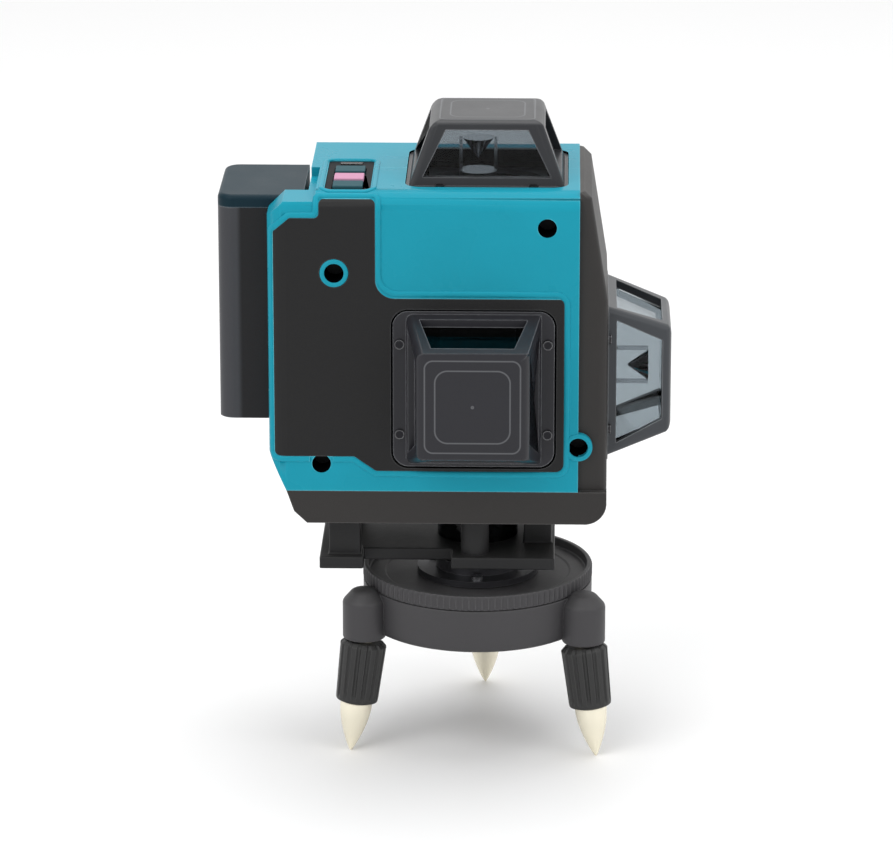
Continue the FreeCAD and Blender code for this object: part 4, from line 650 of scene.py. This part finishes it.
def makeDish():
    low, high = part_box("turntable_dish")
    radius, floor = high.x, high.z - dish["floorDrop"]

    def ribs(angle, r, z):
        # on the band, r less a depth times (half of 1 - cos(ribs times the angle)) to the power 0.6
        onBand = (r > radius - dish["band"]) & (z > low.z + 0.5 * mm) & (z < high.z - 0.5 * mm)
        wave = 0.5 - 0.5 * np.cos(angle * base["ribs"])
        return np.where(onBand, r - base["ribDepth"] * wave ** 0.6, r)

    band = [(radius, z, 0) for z in np.linspace(low.z + 0.55 * mm, high.z - 0.55 * mm, 6)]
    edge = radius - base["ribDepth"]
    shape = turnedShape("dish_ring", [(dish["bore"], low.z, 0), (edge, low.z, 0)] + band + [
        (edge, high.z, 0.2 * mm), (radius - dish["lip"], high.z, 0.4 * mm),
        (radius - dish["lip"] - 0.3 * mm, floor, 0.6 * mm), (radius - dish["seat"], floor, 0.2 * mm),
        (radius - dish["seat"] - 0.6 * mm, floor - dish["step"], 0.2 * mm),
        (dish["bore"], floor - dish["step"], 0)], around=base["ribs"] * 8, swell=ribs)
    dress(shape, "level", "base_plastic", replaces=["turntable_dish"])


# knob that turns on the foot's shank, and the pointed metal tip below it
knob = {"grooves": 14, "depth": 0.62 * mm, "topRadius": 7.5 * mm, "lowRadius": 6.8 * mm,
        "height": 20.0 * mm, "start": 1.3 * mm, "bore": 3.05 * mm, "chamfer": 1.2 * mm}
tip = {"radius": 5.15 * mm, "collar": 1.4 * mm, "gap": 0.3 * mm, "shank": 3.0 * mm,
       "shankTop": -11 * mm, "point": 0.25 * mm}


def makeKnob(number, place):
    start, end = knob["start"], knob["start"] + knob["height"]

    def grooved(angle, r, z):
        # on the grip, r less a depth times 1.6 cos(grooves times the angle) - 0.2, kept from 0 to 1
        onGrip = (r > 6 * mm) & (z < end - 1.6 * mm)
        wave = np.clip(np.cos(angle * knob["grooves"]) * 1.6 - 0.2, 0, 1)
        return np.where(onGrip, r - knob["depth"] * wave, r)

    heights = np.linspace(start + 1.9 * mm, end - 1.2 * mm, 14)
    slope = (knob["lowRadius"] - knob["topRadius"]) / knob["height"]
    grip = [(knob["topRadius"] + slope * (height - start), height, 0) for height in heights]
    shape = turnedShape("knob_grip_%d" % number, [
        (knob["bore"], start, 0), (knob["topRadius"] - knob["chamfer"], start, 0.5 * mm),
        (knob["topRadius"], start + knob["chamfer"], 0.4 * mm)] + grip + [
        (knob["lowRadius"] - 0.1 * mm, end, 0.5 * mm), (knob["bore"], end, 0)],
        around=knob["grooves"] * 12, swell=grooved, place=place)
    dress(shape, "knob_%d" % number, "knob_plastic", replaces=["foot_knob_%d" % number])


def makeTip(number, place):
    # cone: radius = tip radius * cos(s * 90 degrees) ^ 0.82 * (1 - 0.18 s) + point * s, s from 0 to 1
    shoulder = knob["start"] + knob["height"] + tip["gap"]
    length = (jointAt(number)[0].z - cadBox[0][2]) / abs(place[2][2])
    run = length - shoulder - tip["collar"]
    cone = [(tip["radius"] * math.cos(s * math.pi / 2) ** 0.82 * (1 - 0.18 * s) + tip["point"] * s,
             shoulder + tip["collar"] + run * s, 0) for s in np.linspace(0, 1, 16)]
    shape = turnedShape("foot_point_%d" % number, [
        (0, tip["shankTop"], 0), (tip["shank"], tip["shankTop"], 0.4 * mm),
        (tip["shank"], shoulder, 0), (tip["radius"], shoulder, 0.35 * mm)] + cone + [
        (0, length, 0)], around=72, place=place)
    dress(shape, "foot_%d" % number, "foot_metal", replaces=["foot_tip_%d" % number])


makeBase()
makeDish()
for number in (1, 2, 3):
    makeKnob(number, footPlace(number))
    makeTip(number, footPlace(number))
print("base and feet made")

# case: sizes of the front face, the limits of the inside that is painted black as shade, and the raised
# trim
shellLow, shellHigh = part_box("front_shell")
topMiddle = sum(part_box("top_cage_frame"), Vector()) / 2
windowMiddle = sum(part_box("front_cage_frame"), Vector()) / 2
case = {"left": shellLow.x, "front": shellLow.y, "top": shellHigh.z, "brow": 6.0 * mm,
        "wellRadius": 3.3 * mm, "windowHalf": 26.6 * mm, "seat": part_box("front_panel")[1].y}
inside = {"left": -47 * mm, "right": 31.5 * mm, "half": 31.9 * mm, "floor": 54 * mm,
          "roofDrop": 4.2 * mm, "seatDrop": 0.2 * mm}
roundings = {"front_shell": 1.0, "side_housing": 1.6, "rear_shell": 1.3, "bottom_shell": 1.4,
             "front_panel": 0.5, "rear_panel": 0.7, "battery_dock": 0.6, "battery_case": 2.2,
             "battery_cover": 2.2, "bottom_bracket": 0.5, "keypad_panel": 0.2, "key_1": 0.6,
             "key_2": 0.6, "key_3": 0.6, "lock_switch": 0.6}      # in mm
minorShares = {"side_housing": 0.5, "bottom_shell": 0.8, "battery_case": 0.2, "battery_cover": 0.4}

# the dark panel's outline on the face, each corner as (across, up, radius) in mm
panelOutline = [(-63.6, 64.8, 2), (-38.4, 64.8, 1.5), (-31.6, 60.1, 1.5), (27.6, 60.1, 3.5),
                (27.6, 117.1, 3.5), (-31.6, 117.1, 6), (-31.6, 148.2, 1.5), (-49.2, 148.2, 1.2),
                (-49.2, 142.3, 1.2), (-58.4, 142.3, 2), (-63.6, 137.7, 2)]
trim = {"half": 0.95 * mm, "height": 0.55 * mm, "sunk": 1.0 * mm, "step": 0.6 * mm,
        "wellGap": 0.5 * mm, "skips": 2}
keypadTrim = {"away": 1.1 * mm, "corner": 3.4 * mm, "half": 0.8 * mm, "height": 0.45 * mm,
              "sunk": 0.6 * mm, "step": 0.7 * mm}
collar = {"bore": 3.05 * mm, "radius": 4.5 * mm, "start": -1.9 * mm, "height": 0.5 * mm,
          "wells": (0, 3)}


# tests that pick the faces of the shells painted black as shade, from a face's centre and normal
def inWell(centre, normal):
    return centre.y < 0 and any(math.hypot(centre.x - x, centre.z - z) < case["wellRadius"]
                                for x, z in screwPlaces)


def indoors(centre, normal):
    # inside the case, or in the seat of the top window
    inSeat = max(abs(centre.x - topMiddle.x), abs(centre.y)) < case["windowHalf"]
    roof = case["top"] - inside["seatDrop" if inSeat else "roofDrop"]
    return (inside["left"] < centre.x < inside["right"] and abs(centre.y) < inside["half"]
            and inside["floor"] < centre.z < roof)


def inWindow(centre, normal):
    away = max(abs(centre.x - windowMiddle.x), abs(centre.z - windowMiddle.z))
    return away < case["windowHalf"] and centre.y > case["front"] + 0.2 * mm


def onPanelSeat(centre, normal):
    return normal.y < -0.99 and abs(centre.y - case["seat"]) < 0.1 * mm


def paintedShadeInFront(centre, normal):
    return any(test(centre, normal) for test in (indoors, inWell, onPanelSeat, inWindow))


def paintedShadeBehind(centre, normal):
    return centre.y > 0.2 * mm and indoors(centre, normal)


paintedShadeTests = {"front_shell": paintedShadeInFront, "rear_shell": paintedShadeBehind, "side_housing": inWell,
             "front_panel": inWell}


def quarter(share):
    # a quarter round: depth 1 - sqrt(1 - share^2) of its radius, share running from 0 to 1
    return 1 - np.sqrt(1 - share ** 2)


def onFace(points):
    # the face runs flat, then falls away in a quarter round at its left and upper edges
    u = np.clip(case["left"] + case["brow"] - points[:, 0], 0, None) / case["brow"]
    v = np.clip(points[:, 1] - case["top"] + case["brow"], 0, None) / case["brow"]
    drop = quarter(np.maximum(u, v))
    place = np.stack([points[:, 0], case["front"] + case["brow"] * drop, points[:, 1]], 1)
    normal = np.stack([np.where(u > v, -u, 0), drop - 1, np.where(v >= u, v, 0)], 1)
    return place, normal


def makePanelTrim():
    # a raised lip that follows the panel's outline on the face and stops at a screw's well
    outline = np.array(panelOutline) * mm
    corners = outset(outline[:, :2], trim["half"])
    loop = arcedProfile(np.column_stack([corners, outline[:, 2]]), 6)
    loop = evenly(loop, trim["step"])
    x, z = screwPlaces[trim["skips"]]
    clear = np.hypot(loop[:, 0] - x, loop[:, 1] - z) > case["wellRadius"] + trim["wellGap"]
    first = int(np.argmax(clear & ~np.roll(clear, 1)))
    loop = np.roll(loop, -first, 0)[np.roll(clear, -first)]
    path, normals = onFace(loop)
    bead("panel_rim", path, normals, trim["half"], trim["height"], trim["sunk"], "front_shell", False)


def makeKeypadTrim():
    # a lip round the keypad, on the top face and over its rounded front edge
    low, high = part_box("keypad_panel")
    corners = outset([(low.x, low.y), (high.x, low.y), (high.x, high.y), (low.x, high.y)],
                     keypadTrim["away"])
    loop = evenly(arcedProfile([(x, y, keypadTrim["corner"]) for x, y in corners], 6),
                  keypadTrim["step"])
    bend = np.clip(case["front"] + case["brow"] - loop[:, 1], 0, None) / case["brow"]
    drop = quarter(bend)
    path = np.column_stack([loop, case["top"] - case["brow"] * drop])
    normals = np.stack([0 * bend, -bend, 1 - drop], 1)
    bead("keypad_rim", path, normals, keypadTrim["half"], keypadTrim["height"], keypadTrim["sunk"],
         "front_shell")


def makeCollar(number):
    # a ring that stands up round a screw's well
    x, z = screwPlaces[number]
    turn = Matrix.Translation((x, case["front"], z)) @ Matrix.Rotation(math.radians(90), 4, "X")
    piece = turnedShape("screw_collar_%d" % (number + 1), [
        (collar["bore"], collar["start"], 0), (collar["radius"], collar["start"], 0),
        (collar["radius"], collar["height"], 0.5 * mm), (collar["bore"], collar["height"], 0.4 * mm)],
        around=64, place=turn)
    dress(piece, bodyOf["front_shell"], slotOf["front_shell"])


def makeCase():
    for node, width in roundings.items():
        # faces where shade falls get the black finish, a painted shade
        dark = ("paintedShadeBlack", paintedShadeTests[node]) if node in paintedShadeTests else None
        softened(node, width * mm, minorShares.get(node, 1.0), dark)
    makePanelTrim()
    for number in collar["wells"]:
        makeCollar(number)
    makeKeypadTrim()


# window cages: the cap is made flat, since the finish paints its lines as highlights, and its edges are
# rounded
cage = {"rounding": 0.6 * mm, "inlayDepth": 0.9 * mm, "inlayHalf": 11.9 * mm, "capReach": 16.9 * mm,
        "postShare": 0.55, "glassInset": 0.08 * mm}


def makeCage(name):
    axis, centre, level = capOf(name)
    index = "XYZ".index(axis)

    def awayFrom(vertex):
        return max(abs(vertex.co["XYZ".index(label)] - middle) for label, middle in centre.items())

    def flatCap(vertices):
        for vertex in vertices:
            if abs(vertex.co[index] - level) < cage["inlayDepth"] and awayFrom(vertex) < cage["inlayHalf"]:
                vertex.co[index] = level

    def outermost(edge):
        # 1 for the edges of the cap's outline, about half for the long posts that meet them
        ends = [vertex for vertex in edge.verts if abs(vertex.co[index] - level) < 0.1 * mm]
        if not ends or min(awayFrom(vertex) for vertex in ends) < cage["capReach"]:
            return 0.0
        return 1.0 if len(ends) == 2 else cage["postShare"]

    softened(name + "_cage_frame", cage["rounding"], reshape=flatCap, broad=outermost)


def makeGlassSkin(node):
    # the CAD glass drawn in along its normals, so that it stays clear of the frame's rounded posts
    glass = meshFrom(node + "_skin", [], [], False)
    mesh = bmesh.new()
    mesh.from_mesh(frame["nodes"][node].data)
    bmesh.ops.remove_doubles(mesh, verts=mesh.verts, dist=edges["merge"])
    mesh.normal_update()
    for vertex in mesh.verts:
        vertex.co -= vertex.normal * cage["glassInset"]
    mesh.to_mesh(glass.data)
    mesh.free()
    dress(glass, bodyOf[node], slotOf[node], finishOf(node), [node])


makeCase()
for name in cages:
    makeCage(name)
    makeGlassSkin(name + "_glass")
print("case made")

# floor, light and camera; each lamp is (place, side, power)
studio = {"floorSize": 6.0, "floorColour": (0.93, 0.93, 0.93, 1.0), "world": 0.60,
          "target": (-0.010, -0.005, 0.066), "camera": (0.026, -1.5, 0.555), "lens": 196.0,
          "lamps": {"key": ((-0.9, -1.2, 1.5), 1.4, 15.0), "fill": ((1.3, -1.0, 0.9), 1.2, 5.0),
                    "top": ((0.1, 0.3, 1.8), 1.6, 19.0)}}
floorHeight = cadBox[0][2]


def placeFacing(name, data, place):
    # an object at a place, with its -Z towards the target
    holder = bpy.data.objects.new(name, data)
    holder.location = place
    toTarget = Vector(studio["target"]) - holder.location
    holder.rotation_euler = toTarget.to_track_quat("-Z", "Y").to_euler()
    bpy.context.scene.collection.objects.link(holder)
    return holder


def makeFloor():
    half = studio["floorSize"] / 2
    corners = [(x * half, y * half, floorHeight) for x, y in ((-1, -1), (1, -1), (1, 1), (-1, 1))]
    floor = meshFrom("floor", corners, [(0, 1, 2, 3)], False)
    white, _, shader = newMaterial("floorWhite")
    shader.inputs["Base Color"].default_value = studio["floorColour"]
    shader.inputs["Roughness"].default_value = 0.55
    floor.data.materials.append(white)


def makeWorld():
    # white where the camera, a reflection or a glass sees it, dimmer as the light on the object
    world = bpy.data.worlds.new("studioWorld")
    bpy.context.scene.world = world
    world.use_nodes = True
    tree = world.node_tree
    path = addNode(tree, "ShaderNodeLightPath")
    seen = mathNode(tree, "MAXIMUM", path.outputs["Is Camera Ray"],
                    mathNode(tree, "MAXIMUM", path.outputs["Is Glossy Ray"],
                             path.outputs["Is Transmission Ray"]))
    background = tree.nodes["Background"]
    background.inputs["Color"].default_value = (1.0, 1.0, 1.0, 1.0)
    strength = scaled(tree, seen, 1.0 - studio["world"], studio["world"])
    tree.links.new(strength, background.inputs["Strength"])


def makeStudio():
    makeFloor()
    makeWorld()
    for name, (place, side, power) in studio["lamps"].items():
        lamp = bpy.data.lights.new(name, "AREA")
        lamp.shape = "SQUARE"
        lamp.size = side
        lamp.energy = power
        placeFacing(name, lamp, place)
    eye = Vector(studio["camera"]) + Vector((0, 0, floorHeight))
    camera = placeFacing("camera", bpy.data.cameras.new("camera"), eye)
    camera.data.lens = studio["lens"]
    camera.data.sensor_width = 36.0
    camera.data.clip_end = 20.0
    bpy.context.scene.camera = camera
    bpy.context.scene.view_settings.view_transform = "Standard"


makeStudio()
print("studio made")
